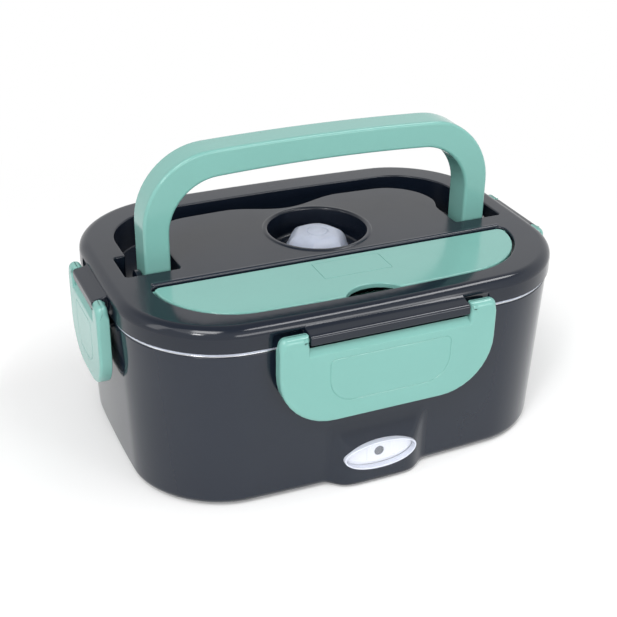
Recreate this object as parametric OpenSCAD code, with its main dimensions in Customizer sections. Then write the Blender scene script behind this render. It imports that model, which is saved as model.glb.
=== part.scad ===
// Electric lunch box: a heated base with a lift-out steel tray, and a clip-on lid
// that carries a folding handle, four latches, a cutlery well and a steam vent.
// Millimetres. Origin at the bottom centre, X along the long side, front at -Y, Z up.

/* [Body] */
// Width of the lid, side to side
body_w = 226; // [215:1:240]
// Depth of the lid, front to back
body_d = 159; // [152:1:170]
// Height of the base's rim above the table
rim_z = 83; // [80:1:100]
// Corner radius seen from above
corner_r = 44.5; // [40:0.5:48]
// How far the long sides bow outwards
bow_long = 4.3; // [2:0.1:5]
// How far the short sides bow outwards
bow_short = 2.9; // [1:0.1:4]
// How far each wall leans in from the rim to the foot
taper = 3; // [1:0.5:5]
// Wall of the base shell
base_wall = 2.6; // [2:0.1:3.2]
// Radius of the edge round the foot of the shell
foot_edge = 3.6; // [2:0.2:5]
// How far the base's rim sits inside the lid's edge
rim_step = 1; // [0.6:0.1:1.4]

/* [Heater] */
// Height of the deck that carries the heating plate
deck_z = 26; // [25:0.5:28]
// Thickness of the deck
deck_t = 2; // [1.6:0.1:3]
// Width of the heating plate
plate_w = 138; // [110:1:150]
// Depth of the heating plate
plate_d = 84; // [70:1:92]
// Corner radius of the heating plate
plate_r = 20; // [12:1:28]
// Thickness of the heating plate
plate_t = 3; // [2.4:0.2:4]

/* [Tray] */
// Thickness of the steel
steel_t = 0.8; // [0.6:0.1:1]
// Gap round the tray's wall at the rim
tray_inset = 5.5; // [5:0.1:6]
// How far the tray's wall leans in
tray_lean = 6; // [4:0.5:8]
// Radius of the tray's bottom edge
tray_edge = 5; // [3:0.5:7]

/* [Side dish] */
// Width of the side dish
dish_w = 64; // [50:1:70]
// Gap in front of and behind the side dish, at the tray's floor
dish_side_gap = 6.2; // [5:0.1:12]
// Gap beside the side dish, at the tray's floor
dish_end_gap = 6.5; // [6:0.1:10]
// Height of the side dish, without its lid
dish_h = 41; // [30:1:42]
// Corner radius of the side dish
dish_r = 20; // [14:1:24]
// Wall of the side dish
dish_wall = 1.4; // [1.2:0.1:2]

/* [Lid] */
// Height of the lid from its skirt to its top
lid_h = 12.1; // [11.5:0.1:14]
// Thickness of the silicone band seen between lid and base
band_t = 1.3; // [1:0.1:1.8]
// Radius of the lid's top edge
lid_edge = 5; // [3:0.2:6]
// Thickness of the lid's skin
lid_skin = 2.4; // [2:0.1:2.8]
// Thickness of the walls of the wells sunk in the lid
well_wall = 1.6; // [1.2:0.1:1.8]

/* [Handle] */
// Distance from the lid's side edge to the handle's leg
leg_border = 21.2; // [20:0.1:26]
// Width of each leg
leg_w = 12.6; // [10:0.2:13]
// Depth of the bail, front to back
bail_d = 16.3; // [14:0.1:17]
// Height of the grip's section
grip_h = 13; // [10:0.5:13]
// Outer radius of the bail's corners
bail_r = 33.5; // [30:0.5:36]
// Inner radius of the bail's corners
bail_in_r = 24.4; // [20:0.2:28]
// How far the grip bows upwards
grip_bow = 3.2; // [1:0.1:4]
// Distance from the handle's pivot to the leg's front face
pivot_front = 7; // [6.4:0.1:7.4]
// Radius of the pivot pin
pin_r = 2; // [1.6:0.1:2.4]
// Distance from the cutlery cover's back edge to the handle's legs
leg_gap = 15.5; // [14.5:0.1:17]

/* [Channel] */
// Distance from the lid's back edge to the channel's outer wall
channel_border = 17.3; // [16.5:0.1:19]
// Gap outside the legs
channel_gap = 4.3; // [2:0.1:4.5]
// Width of the pivot pocket inside the leg
pocket_in = 4.5; // [3:0.1:6]
// Width of the pivot pocket outside the leg
pocket_out = 9.7; // [6:0.1:9.8]
// Width of the finger notch
finger_w = 66; // [50:1:76]
// Depth of the finger notch
finger_d = 8.5; // [4:0.5:9]

/* [Latches] */
// Width of the front and back latches
latch_w = 109.6; // [90:0.4:114]
// Width of the side latches
side_latch_w = 55; // [46:0.5:64]
// Width of each ear on the front and back latches
ear_w = 14.2; // [10:0.2:16]
// Width of each ear on the side latches
side_ear_w = 9.2; // [8:0.2:12]
// How far the latches stand out from the lid
latch_out = 7.3; // [7.1:0.1:9]
// Height of a latch below its pivot
latch_drop = 43.7; // [38:0.1:46]
// Radius of the front latch's lower corners
latch_r = 27.4; // [16:0.2:32]
// Radius of the side latch's lower corners
side_latch_r = 20; // [12:0.5:24]
// Thickness of a latch's plate
latch_t = 2.7; // [2.2:0.1:3]
// Thickness of a latch's rim
latch_rim = 2.2; // [1.6:0.1:2.6]

/* [Cutlery well] */
// Distance from the lid's side edge to the cutlery cover
cover_side = 19.3; // [19:0.1:28]
// Distance from the lid's front edge to the cutlery cover
cover_border = 13.5; // [13:0.1:18]
// Depth of the cutlery cover, front to back
cover_d = 40.3; // [38:0.1:40.6]
// Thickness of the cover's top
cover_t = 2.2; // [1.8:0.1:2.6]
// Width of the finger scoop in the cover
scoop_w = 30; // [20:1:36]

/* [Vent] */
// Radius of the vent well
vent_r = 25.2; // [22:0.1:25.6]
// How far the vent's centre lies to the right of the middle
vent_x = 4; // [0:0.2:6]
// Distance from the cutlery cover's back edge to the vent's centre
vent_gap = 33.9; // [33.4:0.1:35]
// Radius of the silicone valve
valve_r = 16.6; // [12:0.5:17]

/* [Sockets] */
// Half width of the indicator lens
lens_a = 19.4; // [14:0.2:20]
// Half height of the indicator lens
lens_b = 7.7; // [6:0.1:8.2]
// Height of the lens's centre
lens_z = 16.9; // [16:0.1:17.5]
// How far the bosses stand out of the base's foot
boss_out = 5.6; // [4.5:0.1:6.5]

/* [Hidden] */
$fn = 64;

eps = 0.01;
// colours
dark = [0.16, 0.17, 0.20];
teal = [0.47, 0.74, 0.69];
steel = [0.75, 0.76, 0.78];
clear = [0.88, 0.90, 0.94];

// the outline
half_w = body_w / 2;
half_d = body_d / 2;
arc_steps = 10;
side_steps = 8;

// base
foot_h = 1.2;
cover_plate_t = 2.4;
cover_plate_gap = 0.25;
foot_z = foot_h + foot_edge;
post_x = half_w - 29;
post_y = half_d - 39.5;
post_r = 3.6;
screw_r = 1.4;
screw_fit = 0.1;
screw_head_r = 2.8;
screw_head_h = 1.1;
foot_r = 6;
foot_sink = 0.8;
foot_x = half_w - 51;
foot_y = half_d - 27.5;

// heater stack, hung from the deck
plate_top = deck_z + 1;
plate_gap = 0.3;
plate_lip = 4;
lip_t = 1.2;
element_w = 92;
element_d = 36;
element_t = 3;
clamp_t = 1;
clamp_ear = 9;
thermostat_r = 8.2;
thermostat_h = 7;

// tray
tray_gap = 0.2;
flange_inset = rim_step + 0.2;
tray_floor = plate_top + tray_gap;
flange_top = rim_z + steel_t;

// lid levels
seal_gap = 0.05;
skirt_z = flange_top + seal_gap + band_t;
lid_top = skirt_z + lid_h;
ceiling = lid_top - lid_skin;

// where the lid's fittings stand, from its front edge backwards
cover_a = half_w - cover_side;
cover_front = half_d - cover_border;
cover_back = cover_front - cover_d;
leg_y = leg_gap - cover_back;
vent_y = vent_gap - cover_back;
channel_y = half_d - channel_border;

// handle and its pivot; folded back, the leg's front face lies level with the lid
fold_gap = 1;
pivot_z = lid_top - pivot_front;
pivot_y = leg_y + pivot_front;
pivot_back = bail_d - pivot_front;
grip_top = pivot_z + channel_y - fold_gap - pivot_y;
leg_out = half_w - leg_border;
leg_in = leg_out - leg_w;
swing_gap = 0.5;
channel_floor = pivot_z - pivot_back - swing_gap;
channel_base = channel_floor - well_wall;
plateau_gap = 1;
pocket_front = leg_y - 0.8;
pocket_back = leg_y + bail_d + 5.4;
pocket_x1 = leg_out + pocket_out;
pocket_x0 = leg_in - pocket_in;
cheek_t = 2.6;
pin_fit = 0.06;
channel_a = leg_out + channel_gap;
channel_r = bail_r - 3.5;
channel_bow = grip_bow + 0.3;

// liner and seal
liner_t = 1.4;
liner_inset = tray_inset + steel_t + 1.3;
liner_z = channel_base - 0.4 - 1.6;
seal_tongue = 3.4;

// latches, measured outwards from the lid's side
lever_w = latch_out / 2 + 0.25;
lever_z = skirt_z + 3.8;
ear_r = latch_out - lever_w;
rim_in = 1.4;
lever_pin_r = 1.3;
lever_pin_fit = 0.06;
lever_pin_l = 3;
bar_gap = 0.3;
bar_drop = 2;
bar_root = 2;
scoop_r = lever_w + 2.5;
scoop_past = 2.2;
bar_front = latch_out - 0.3;
cut_z = lever_z - 7.6;
cut_back_z = lever_z - 4.1;
catch_z = rim_z - 7;
catch_h = 2;
catch_out = 0.95;
catch_root = 1.8;
hook_gap = 0.3;
hook_drop = 1;
hook_h = 2.2;
catch_short = 20;

// cutlery well
cover_r = 33;
cover_gap = 1.1;
cover_low = 0.3;
cover_top = lid_top - cover_low;
ledge_w = 1.8;
cover_skirt = 1.2;
ledge_z = cover_top - cover_t - cover_skirt - 0.2;
cutlery_floor = ledge_z - 9.4;
flap_y = -cover_back - 2;
flap_z = cover_top - 1.8;
flap_pin_r = 0.9;
flap_fit = 0.08;
flap_pin_l = 2;
flap_room = 3;
rib_w = 1.8;
rib_h = 0.7;

// vent
vent_floor = lid_top - 13.6;
vent_lip = 2.8;
vent_lip_h = 0.6;
valve_top = lid_top - 1.6;
valve_cap_r = 6.4;
valve_stem_r = 3;
valve_gap = 0.2;
seat_r = valve_r + 4.2;

// bosses at the foot, front and back
boss_half = 25;
boss_power = 3.2;
boss_steps = 24;
boss_round = 46;
boss_z = 9;
boss_y = half_d - rim_step - taper + boss_out;
lens_t = 3.4;
lens_proud = 0.3;
lens_back = 5.2;
board_t = 1.2;
stud_x = 12;
stud_r = 3.4;
lens_fit = 0.12;
lens_step = 1.8;
board_in = 2.4;
led_r = 2.2;
led_gap = 0.5;
led_h = lens_back - led_r - led_gap;
inlet_w = 15;
inlet_h = 8.6;
inlet_wall = 1.6;
inlet_depth = 10;
inlet_pitch = 8.6;
blade_r = 1.2;

// A rounded rectangle whose sides bow outwards; a and b are half sizes at the middle of its sides
function bowed(a, b, r, bl, bs) = let (
    aa = a - bs,
    bb = b - bl,
    steps = max(bl, bs) > 0 ? side_steps : 1,
    arcs = [for (k = [0:3]) let (sx = (k == 0 || k == 3) ? 1 : -1, sy = k < 2 ? 1 : -1)
            [for (i = [0:arc_steps]) let (t = 90 * (k + i / arc_steps))
             [sx * (aa - r) + r * cos(t), sy * (bb - r) + r * sin(t)]]],
    flat = [for (k = [0:3]) each concat(arcs[k], [for (i = [1:1:steps - 1])
            let (p = arcs[k][arc_steps], q = arcs[(k + 1) % 4][0]) p + (q - p) * i / steps])])
    [for (p = flat) [p[0] + sign(p[0]) * bs * (1 - pow(p[1] / bb, 2)) * abs(p[0]) / aa,
                     p[1] + sign(p[1]) * bl * (1 - pow(p[0] / aa, 2)) * abs(p[1]) / bb]];

// The lid's outline, moved inwards
function outline(inset) = bowed(half_w - inset, half_d - inset, corner_r - inset, bow_long, bow_short);

function lift(points, z) = [for (p = points) [p[0], p[1], z]];

function ellipse(a, b, n = 48) = [for (i = [0:n - 1]) [a * cos(360 * i / n), b * sin(360 * i / n)]];

// An upright arch: half width a, top at z1, feet at z0, corner radius r, bowed top
function arch(a, z0, z1, r, bow, n = 12, m = 16) = let (zc = z1 - bow)
    [for (p = concat(
        [[a, z0]],
        [for (i = [0:n]) [a - r + r * cos(90 * i / n), zc - r + r * sin(90 * i / n)]],
        [for (i = [1:m - 1]) [(a - r) * (1 - 2 * i / m), zc]],
        [for (i = [0:n]) [-a + r - r * sin(90 * i / n), zc - r + r * cos(90 * i / n)]],
        [[-a, z0]]))
     [p[0], p[1] + bow * (1 - pow(p[0] / a, 2)) * max(0, (p[1] - z0) / (zc - z0))]];

// Solid through a stack of outlines that all have the same number of points
module loft(rings) {
    n = len(rings[0]);
    m = len(rings);
    polyhedron(
        points = [for (r = rings) each r],
        faces = concat(
            [[for (i = [0:n - 1]) i]],
            [[for (i = [n - 1:-1:0]) (m - 1) * n + i]],
            [for (k = [0:m - 2], i = [0:n - 1]) let (j = (i + 1) % n)
                [k * n + i, (k + 1) * n + i, (k + 1) * n + j]],
            [for (k = [0:m - 2], i = [0:n - 1]) let (j = (i + 1) % n)
                [k * n + i, (k + 1) * n + j, k * n + j]]),
        convexity = 8);
}

module prism(points, z0, z1) {
    translate([0, 0, z0]) linear_extrude(z1 - z0) polygon(points);
}

// Extrudes an XZ outline along Y, from y0 to y1
module slab(points, y0, y1) {
    translate([0, y1, 0]) rotate([90, 0, 0]) linear_extrude(y1 - y0) polygon(points);
}

module block(x0, x1, y0, y1, z0, z1) {
    translate([x0, y0, z0]) cube([x1 - x0, y1 - y0, z1 - z0]);
}

module rod(r, x0, x1, y, z) {
    translate([x0, y, z]) rotate([0, 90, 0]) cylinder(r = r, h = x1 - x0);
}

module both_sides() {
    children();
    mirror([1, 0, 0]) children();
}

module front_and_back() {
    children();
    mirror([0, 1, 0]) children();
}

module four_ways() {
    both_sides() front_and_back() children();
}

// Places a child made for the front side, with its lid edge at y = 0 and outwards along -Y
module on_front() { translate([0, -half_d, 0]) children(); }
module on_back() { rotate([0, 0, 180]) translate([0, -half_d, 0]) children(); }
module on_left() { rotate([0, 0, -90]) translate([0, -half_w, 0]) children(); }
module on_right() { rotate([0, 0, 90]) translate([0, -half_w, 0]) children(); }

// Base

function wall_inset(z) = rim_step + taper * (rim_z - z) / (rim_z - foot_z);

// A swelling with a flat crown, which falls off towards its ends and its top
module boss_form() {
    plan = [for (i = [-boss_steps:boss_steps]) let (u = i / boss_steps)
            [boss_half * u, -boss_y + boss_out * pow(abs(u), boss_power)]];
    intersection() {
        prism(concat(plan, [[boss_half, -boss_y + 11], [-boss_half, -boss_y + 11]]), foot_h, 60);
        rod(boss_round, -boss_half - 1, boss_half + 1, -boss_y + boss_round, boss_z);
    }
}

module lens_form(shrink, y0, y1) {
    translate([0, 0, lens_z]) slab(ellipse(lens_a - shrink, lens_b - shrink), y0, y1);
}

module stadium(w, h, y0, y1) {
    front = [for (t = [-90:15:90]) [(w - h) / 2 + h / 2 * cos(t), h / 2 * sin(t)]];
    back = [for (t = [90:15:270]) [-(w - h) / 2 + h / 2 * cos(t), h / 2 * sin(t)]];
    slab(concat(front, back), y0, y1);
}

module catch_rib(half) {
    block(-half, half, -catch_out, catch_root + rim_step, catch_z, catch_z + catch_h);
}

module body_shell() color(dark) {
    difference() {
        union() {
            loft([lift(outline(wall_inset(foot_z) + foot_edge * 0.8), foot_h),
                  lift(outline(wall_inset(foot_z) + foot_edge * 0.29), foot_h + foot_edge * 0.29),
                  lift(outline(wall_inset(foot_z)), foot_z),
                  lift(outline(rim_step), rim_z)]);
            front_and_back() boss_form();
            on_front() catch_rib(latch_w / 2 - catch_short);
            on_back() catch_rib(latch_w / 2 - catch_short);
            on_left() catch_rib(side_latch_w / 2 - catch_short / 2);
            on_right() catch_rib(side_latch_w / 2 - catch_short / 2);
        }
        // the well that takes the tray
        loft([lift(outline(wall_inset(deck_z) + base_wall), deck_z),
              lift(outline(rim_step + base_wall), rim_z),
              lift(outline(rim_step + base_wall), rim_z + 1)]);
        // the heater space under the deck
        loft([lift(outline(wall_inset(foot_z) + base_wall + 1.6), foot_h - 1),
              lift(outline(wall_inset(foot_z) + base_wall + 1.6), foot_z),
              lift(outline(wall_inset(deck_z - deck_t) + base_wall), deck_z - deck_t)]);
        // the hole for the heating plate
        prism(bowed(plate_w / 2 + plate_gap, plate_d / 2 + plate_gap, plate_r, 0, 0), deck_z - 10, deck_z + 1);
        // the lens's seat and the window behind it
        lens_form(0, -boss_y - 6, -boss_y + lens_t);
        lens_form(lens_step, -boss_y - 6, -boss_y + 30);
        // the inlet's hole
        translate([0, 0, lens_z]) stadium(inlet_w + 2 * inlet_wall + 2 * lens_fit,
                                          inlet_h + 2 * inlet_wall + 2 * lens_fit, boss_y - 20, boss_y + 2);
    }
    difference() {
        four_ways() translate([post_x, post_y, foot_h + cover_plate_t])
            cylinder(r = post_r, h = deck_z - deck_t - foot_h - cover_plate_t);
        four_ways() translate([post_x, post_y, 0]) cylinder(r = screw_r + screw_fit, h = deck_z - deck_t - 4);
    }
}

module base_cover() color(dark) {
    inset = wall_inset(foot_z) + base_wall + 1.6 + cover_plate_gap;
    difference() {
        prism(outline(inset), foot_h, foot_h + cover_plate_t);
        four_ways() translate([post_x, post_y, 0]) {
            cylinder(r = screw_r + 0.3, h = 10);
            cylinder(r = screw_head_r + 0.3, h = foot_h + screw_head_h + 0.2);
        }
        four_ways() translate([foot_x, foot_y, 0]) cylinder(r = foot_r + 0.1, h = foot_h + foot_sink);
        // air slots under the heater
        for (k = [-3:3]) block(k * 9 - 1.5, k * 9 + 1.5, -16, 16, 0, 10);
    }
}

module base_screws() color(steel) four_ways() translate([post_x, post_y, 0]) {
    difference() {
        translate([0, 0, foot_h + 0.2]) cylinder(r = screw_head_r, h = screw_head_h);
        block(-2, 2, -0.35, 0.35, 0, foot_h + 0.8);
        block(-0.35, 0.35, -2, 2, 0, foot_h + 0.8);
    }
    translate([0, 0, foot_h + 0.2 + screw_head_h - eps])
        cylinder(r = screw_r, h = deck_z - deck_t - 4 - 2 - foot_h);
}

module feet() color([0.08, 0.08, 0.09]) four_ways() translate([foot_x, foot_y, 0]) {
    cylinder(r = foot_r, h = foot_h + foot_sink);
}

// Heater

module heating_plate() color([0.70, 0.71, 0.73]) {
    prism(bowed(plate_w / 2, plate_d / 2, plate_r, 0, 0), plate_top - plate_t, plate_top);
    prism(bowed(plate_w / 2 + plate_lip, plate_d / 2 + plate_lip, plate_r + plate_lip, 0, 0),
          deck_z - deck_t - lip_t, deck_z - deck_t);
}

element_top = min(plate_top - plate_t, deck_z - deck_t - lip_t);
module heater_element() color([0.55, 0.42, 0.25])
    block(-element_w / 2, element_w / 2, -element_d / 2, element_d / 2, element_top - element_t, element_top);

clamp_x = element_w / 2 + clamp_ear / 2;
module heater_clamp() color(steel) {
    low = element_top - element_t - clamp_t;
    difference() {
        union() {
            block(-element_w / 2 - clamp_t, element_w / 2 + clamp_t, -element_d / 4, element_d / 4,
                  low, low + clamp_t);
            both_sides() {
                block(element_w / 2 + 0.1, element_w / 2 + clamp_t, -element_d / 4, element_d / 4,
                      low, element_top);
                block(element_w / 2 + 0.1, element_w / 2 + clamp_ear, -element_d / 4, element_d / 4,
                      element_top - clamp_t, element_top);
            }
        }
        both_sides() translate([clamp_x, 0, 0]) cylinder(r = 1.6, h = 60);
        translate([0, 0, 0]) cylinder(r = thermostat_r - 2, h = 60);
    }
}

module clamp_screws() color(steel) both_sides() translate([clamp_x, 0, element_top - clamp_t - 1.6]) {
    difference() {
        cylinder(r = 2.8, h = 1.6);
        block(-2, 2, -0.35, 0.35, -1, 0.6);
    }
}

module thermostat() color([0.12, 0.12, 0.13]) {
    top = element_top - element_t - clamp_t;
    translate([0, 0, top - thermostat_h]) cylinder(r = thermostat_r, h = thermostat_h);
    block(-thermostat_r - 5, -thermostat_r + 1, -3, 3, top - thermostat_h, top - thermostat_h + 0.8);
    block(thermostat_r - 1, thermostat_r + 5, -3, 3, top - thermostat_h, top - thermostat_h + 0.8);
}

fuse_y = element_d / 2 + 9;
fuse_z = element_top - 2.4;
module thermal_fuse() color([0.85, 0.84, 0.78]) rod(2, -6, 6, fuse_y, fuse_z - 0.4);

// Internal wires, each one an eight-sided tube with a ring at every point of its route
function unit(v) = v / norm(v);

module wire(points, r) {
    n = len(points);
    loft([for (i = [0:n - 1]) let (
        t = unit(points[min(i + 1, n - 1)] - points[max(i - 1, 0)]),
        u = unit(cross(t, [0, 0, 1])),
        v = cross(t, u))
        [for (a = [0:45:315]) points[i] + r * (cos(a) * u + sin(a) * v)]]);
}

wire_r = 0.9;
wire_z = 8;
inlet_back = boss_y - 1 - inlet_depth - inlet_wall;
live_x = 24;
neutral_x = -30;
module live_wire() color([0.70, 0.12, 0.10]) wire([
    [inlet_pitch / 2, inlet_back - 4, lens_z], [inlet_pitch / 2, inlet_back - 8, lens_z],
    [inlet_pitch / 2 + 3, inlet_back - 15, wire_z + 2], [live_x - 4, inlet_back - 20, wire_z],
    [live_x, inlet_back - 28, wire_z], [live_x, fuse_y + 10, wire_z], [live_x - 3, fuse_y + 3, wire_z + 2],
    [16, fuse_y, fuse_z - 0.4], [6, fuse_y, fuse_z - 0.4]], wire_r);

terminal_z = element_top - element_t - clamp_t - thermostat_h + 0.4;
module neutral_wire() color([0.12, 0.25, 0.60]) wire([
    [-inlet_pitch / 2, inlet_back - 4, lens_z], [-inlet_pitch / 2, inlet_back - 8, lens_z],
    [-inlet_pitch / 2 - 3, inlet_back - 15, wire_z + 2], [neutral_x + 4, inlet_back - 20, wire_z],
    [neutral_x, inlet_back - 28, wire_z], [neutral_x, 12, wire_z], [neutral_x + 3, 3, terminal_z],
    [neutral_x + 9, 0, terminal_z], [-thermostat_r - 5, 0, terminal_z]], wire_r);

// Indicator at the front boss

module indicator_lens() color(clear) lens_form(lens_fit, -boss_y - lens_proud, -boss_y + lens_t - lens_fit);

board_y = -boss_y + lens_t + lens_back;

module lens_studs() color([0.80, 0.82, 0.86]) both_sides()
    translate([stud_x, board_y, lens_z]) rotate([90, 0, 0]) cylinder(r = stud_r, h = lens_back - lens_fit);

module led_board() color([0.93, 0.93, 0.95])
    lens_form(board_in, board_y, board_y + board_t);

module indicator_led() color([0.25, 0.26, 0.25]) translate([0, board_y, lens_z]) rotate([90, 0, 0]) {
    cylinder(r = led_r + 0.5, h = 1);
    cylinder(r = led_r, h = led_h);
    translate([0, 0, led_h]) sphere(r = led_r);
}

// Mains inlet at the back boss: a two-pole recessed socket

module power_inlet() color([0.07, 0.07, 0.08]) {
    difference() {
        translate([0, 0, lens_z])
            stadium(inlet_w + 2 * inlet_wall, inlet_h + 2 * inlet_wall, inlet_back, boss_y - 0.6);
        translate([0, 0, lens_z]) stadium(inlet_w, inlet_h, inlet_back + inlet_wall, boss_y + 5);
        for (s = [-1, 1]) translate([s * inlet_pitch / 2, inlet_back - 1, lens_z]) rotate([-90, 0, 0])
            cylinder(r = blade_r + 0.02, h = inlet_wall + 2);
    }
}

module inlet_pins() color(steel) for (s = [-1, 1]) translate([s * inlet_pitch / 2, inlet_back - 4, lens_z])
    rotate([-90, 0, 0]) {
        cylinder(r = blade_r, h = inlet_depth + inlet_wall + 4 - 1.5);
        translate([0, 0, inlet_depth + inlet_wall + 4 - 1.5]) sphere(r = blade_r);
    }

// Tray

function tray_side(z, t) = tray_inset + t + tray_lean * (flange_top - z) / (flange_top - tray_floor);

function tray_rings(t) = [
    lift(outline(tray_side(tray_floor, t) + tray_edge), tray_floor + t),
    lift(outline(tray_side(tray_floor, t) + tray_edge * 0.3), tray_floor + t * 0.7 + tray_edge * 0.3),
    lift(outline(tray_side(tray_floor + tray_edge, t)), tray_floor + tray_edge),
    lift(outline(tray_inset + t), flange_top)];

module food_tray() color(steel) {
    difference() {
        union() {
            loft(tray_rings(0));
            prism(outline(flange_inset), rim_z, flange_top);
        }
        loft(concat(tray_rings(steel_t), [lift(outline(tray_inset + steel_t), flange_top + 1)]));
    }
}

// Side dish

dish_d = 2 * (half_d - tray_side(tray_floor, steel_t) - dish_side_gap);
dish_x = half_w - tray_side(tray_floor, steel_t) - dish_end_gap - dish_w / 2;
dish_z = tray_floor + steel_t + 0.6;
dish_top = dish_z + dish_h;
dish_foot = 3;
function dish_ring(grow, z) = lift([for (p = bowed(dish_w / 2 + grow, dish_d / 2 + grow, dish_r + grow, 0, 0))
                                    p + [dish_x, 0]], z);

module side_dish() color([0.90, 0.91, 0.90]) {
    difference() {
        union() {
            loft([dish_ring(-dish_foot - 1.5, dish_z), dish_ring(-dish_foot, dish_z + 1.5),
                  dish_ring(-1.5, dish_top)]);
            loft([dish_ring(0, dish_top - 2.4), dish_ring(0, dish_top)]);
        }
        loft([dish_ring(-dish_foot - 1.5 - dish_wall, dish_z + dish_wall),
              dish_ring(-dish_foot - dish_wall, dish_z + 1.5 + dish_wall),
              dish_ring(-1.5 - dish_wall, dish_top), dish_ring(-1.5 - dish_wall, dish_top + 1)]);
    }
}

module side_dish_seal() color(clear) difference() {
    loft([dish_ring(-0.6, dish_top + 0.05), dish_ring(-0.6, dish_top + 1.2)]);
    loft([dish_ring(-3, dish_top - 1), dish_ring(-3, dish_top + 2)]);
}

module side_dish_lid() color(teal) {
    difference() {
        loft([dish_ring(1.5, dish_top - 2), dish_ring(1.5, dish_top + 2), dish_ring(0.7, dish_top + 2.8)]);
        loft([dish_ring(0.15, dish_top - 3), dish_ring(0.15, dish_top + 1.25)]);
    }
}

// Lid

// The plateau that the folded handle goes round, with the finger notch in its back edge
function plateau(shrink) = [for (p = arch(leg_in - plateau_gap - shrink, -60,
        pivot_y + grip_top - grip_h - pivot_z - plateau_gap - shrink,
        bail_in_r - plateau_gap - shrink, grip_bow))
    let (u = min(1, abs(p[0]) / (finger_w / 2)), on_grip = p[1] > 25 ? 1 : 0)
    [p[0], p[1] - on_grip * finger_d * pow(cos(90 * u), 2)]];

module channel_space(grow, z0, z1) {
    difference() {
        union() {
            difference() {
                prism(bowed(channel_a + grow, channel_y + grow, channel_r + grow, channel_bow, 0.8), z0, z1);
                block(-200, 200, -200, pocket_front - grow, z0 - 1, z1 + 1);
            }
            both_sides() block(pocket_x0 - grow, pocket_x1 + grow, pocket_front - grow, pocket_back + grow,
                               z0, z1);
        }
        difference() {
            prism(plateau(grow), z0 - 1, z1 + 1);
            both_sides() block(pocket_x0 - grow, 200, pocket_front - grow, pocket_back + grow,
                               z0 - 2, z1 + 2);
        }
    }
}

// The cutlery cover's D-shaped outline, extruded
module cover_form(grow, z0, z1, back = 0) {
    difference() {
        prism(bowed(cover_a + grow, cover_front + grow, cover_r + grow, bow_long, bow_short), z0, z1);
        block(-200, 200, -cover_back + grow + back, 200, z0 - 1, z1 + 1);
    }
}

module latch_bar(half) {
    length = half - bar_gap;
    difference() {
        translate([-length, 0, 0]) rotate([90, 0, 90]) linear_extrude(2 * length)
            polygon([[bar_root, skirt_z + lid_h - lid_edge + 0.6], [-0.5, skirt_z + lid_h - lid_edge + 0.6],
                     [-bar_front + 0.3, lever_z + 2.3], [-bar_front, lever_z + 1.9],
                     [-bar_front, lever_z - bar_drop], [bar_root, lever_z - bar_drop]]);
        both_sides() rod(lever_pin_r + lever_pin_fit, length - lever_pin_l - 0.6, length + 1,
                         -lever_w, lever_z);
    }
}

// The scoops in the lid's side that let a latch's ears turn
module latch_scoops(half, ear) {
    both_sides() rod(scoop_r, half - ear - bar_gap, half + scoop_past, -lever_w, lever_z);
}

module lid_shell() color(dark) {
    difference() {
        union() {
            difference() {
                loft(concat([lift(outline(0), skirt_z)],
                            [for (t = [0:22.5:90]) lift(outline(lid_edge * (1 - cos(t))),
                                                        lid_top - lid_edge + lid_edge * sin(t))]));
                prism(outline(lid_skin), skirt_z - 1, ceiling);
                on_front() latch_scoops(latch_w / 2, ear_w);
                on_back() latch_scoops(latch_w / 2, ear_w);
                on_left() latch_scoops(side_latch_w / 2, side_ear_w);
                on_right() latch_scoops(side_latch_w / 2, side_ear_w);
            }
            channel_space(well_wall, channel_base, ceiling + eps);
            cover_form(cover_gap + well_wall, cutlery_floor - well_wall, ceiling + eps);
            translate([vent_x, vent_y, vent_floor - well_wall])
                cylinder(r = vent_r + well_wall, h = ceiling - vent_floor + well_wall + eps);
            translate([vent_x, vent_y, lid_top - eps]) difference() {
                cylinder(r1 = vent_r + vent_lip, r2 = vent_r + vent_lip - 1, h = vent_lip_h);
                translate([0, 0, -1]) cylinder(r = vent_r + 0.4, h = 4);
            }
            // the thin rib behind the cutlery cover
            block(-cover_a + 2, cover_a - 2, -cover_back + cover_gap, -cover_back + cover_gap + rib_w,
                  lid_top - eps, lid_top + rib_h);
            on_front() latch_bar(latch_w / 2 - ear_w);
            on_back() latch_bar(latch_w / 2 - ear_w);
            on_left() latch_bar(side_latch_w / 2 - side_ear_w);
            on_right() latch_bar(side_latch_w / 2 - side_ear_w);
        }
        channel_space(0, channel_floor, lid_top + 1);
        cover_form(cover_gap, ledge_z, lid_top + 2);
        cover_form(cover_gap - ledge_w, cutlery_floor, lid_top + 2, ledge_w);
        intersection() {
            cover_form(cover_gap, ledge_z - flap_room, lid_top + 2);
            block(-half_w, half_w, flap_y - flap_room, 0, 0, lid_top + 3);
        }
        translate([vent_x, vent_y, vent_floor]) cylinder(r = vent_r, h = 40);
        translate([vent_x, vent_y, 0]) cylinder(r = valve_stem_r + valve_gap, h = 200);
        both_sides() rod(pin_r, pocket_x0 - 1, pocket_x0 + 3, pivot_y, pivot_z);
        both_sides() rod(flap_pin_r + flap_fit, cover_a - 3, cover_a + cover_gap + flap_pin_l,
                         flap_y, flap_z);
    }
    // the cheeks that carry the handle's pins
    both_sides() difference() {
        union() {
            rod(pivot_front - 1.5, leg_out + 0.6, leg_out + 0.6 + cheek_t, pivot_y, pivot_z);
            block(leg_out + 0.6, leg_out + 0.6 + cheek_t,
                  pivot_y - pivot_front + 1.5, pivot_y + pivot_front - 1.5,
                  channel_floor - eps, pivot_z);
        }
        rod(pin_r, leg_out, leg_out + 10, pivot_y, pivot_z);
    }
    // the valve's seat
    translate([vent_x, vent_y, vent_floor - eps]) difference() {
        cylinder(r = seat_r, h = 2.4);
        translate([0, 0, -1]) cylinder(r = valve_r + 1.3, h = 6);
    }
}

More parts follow.
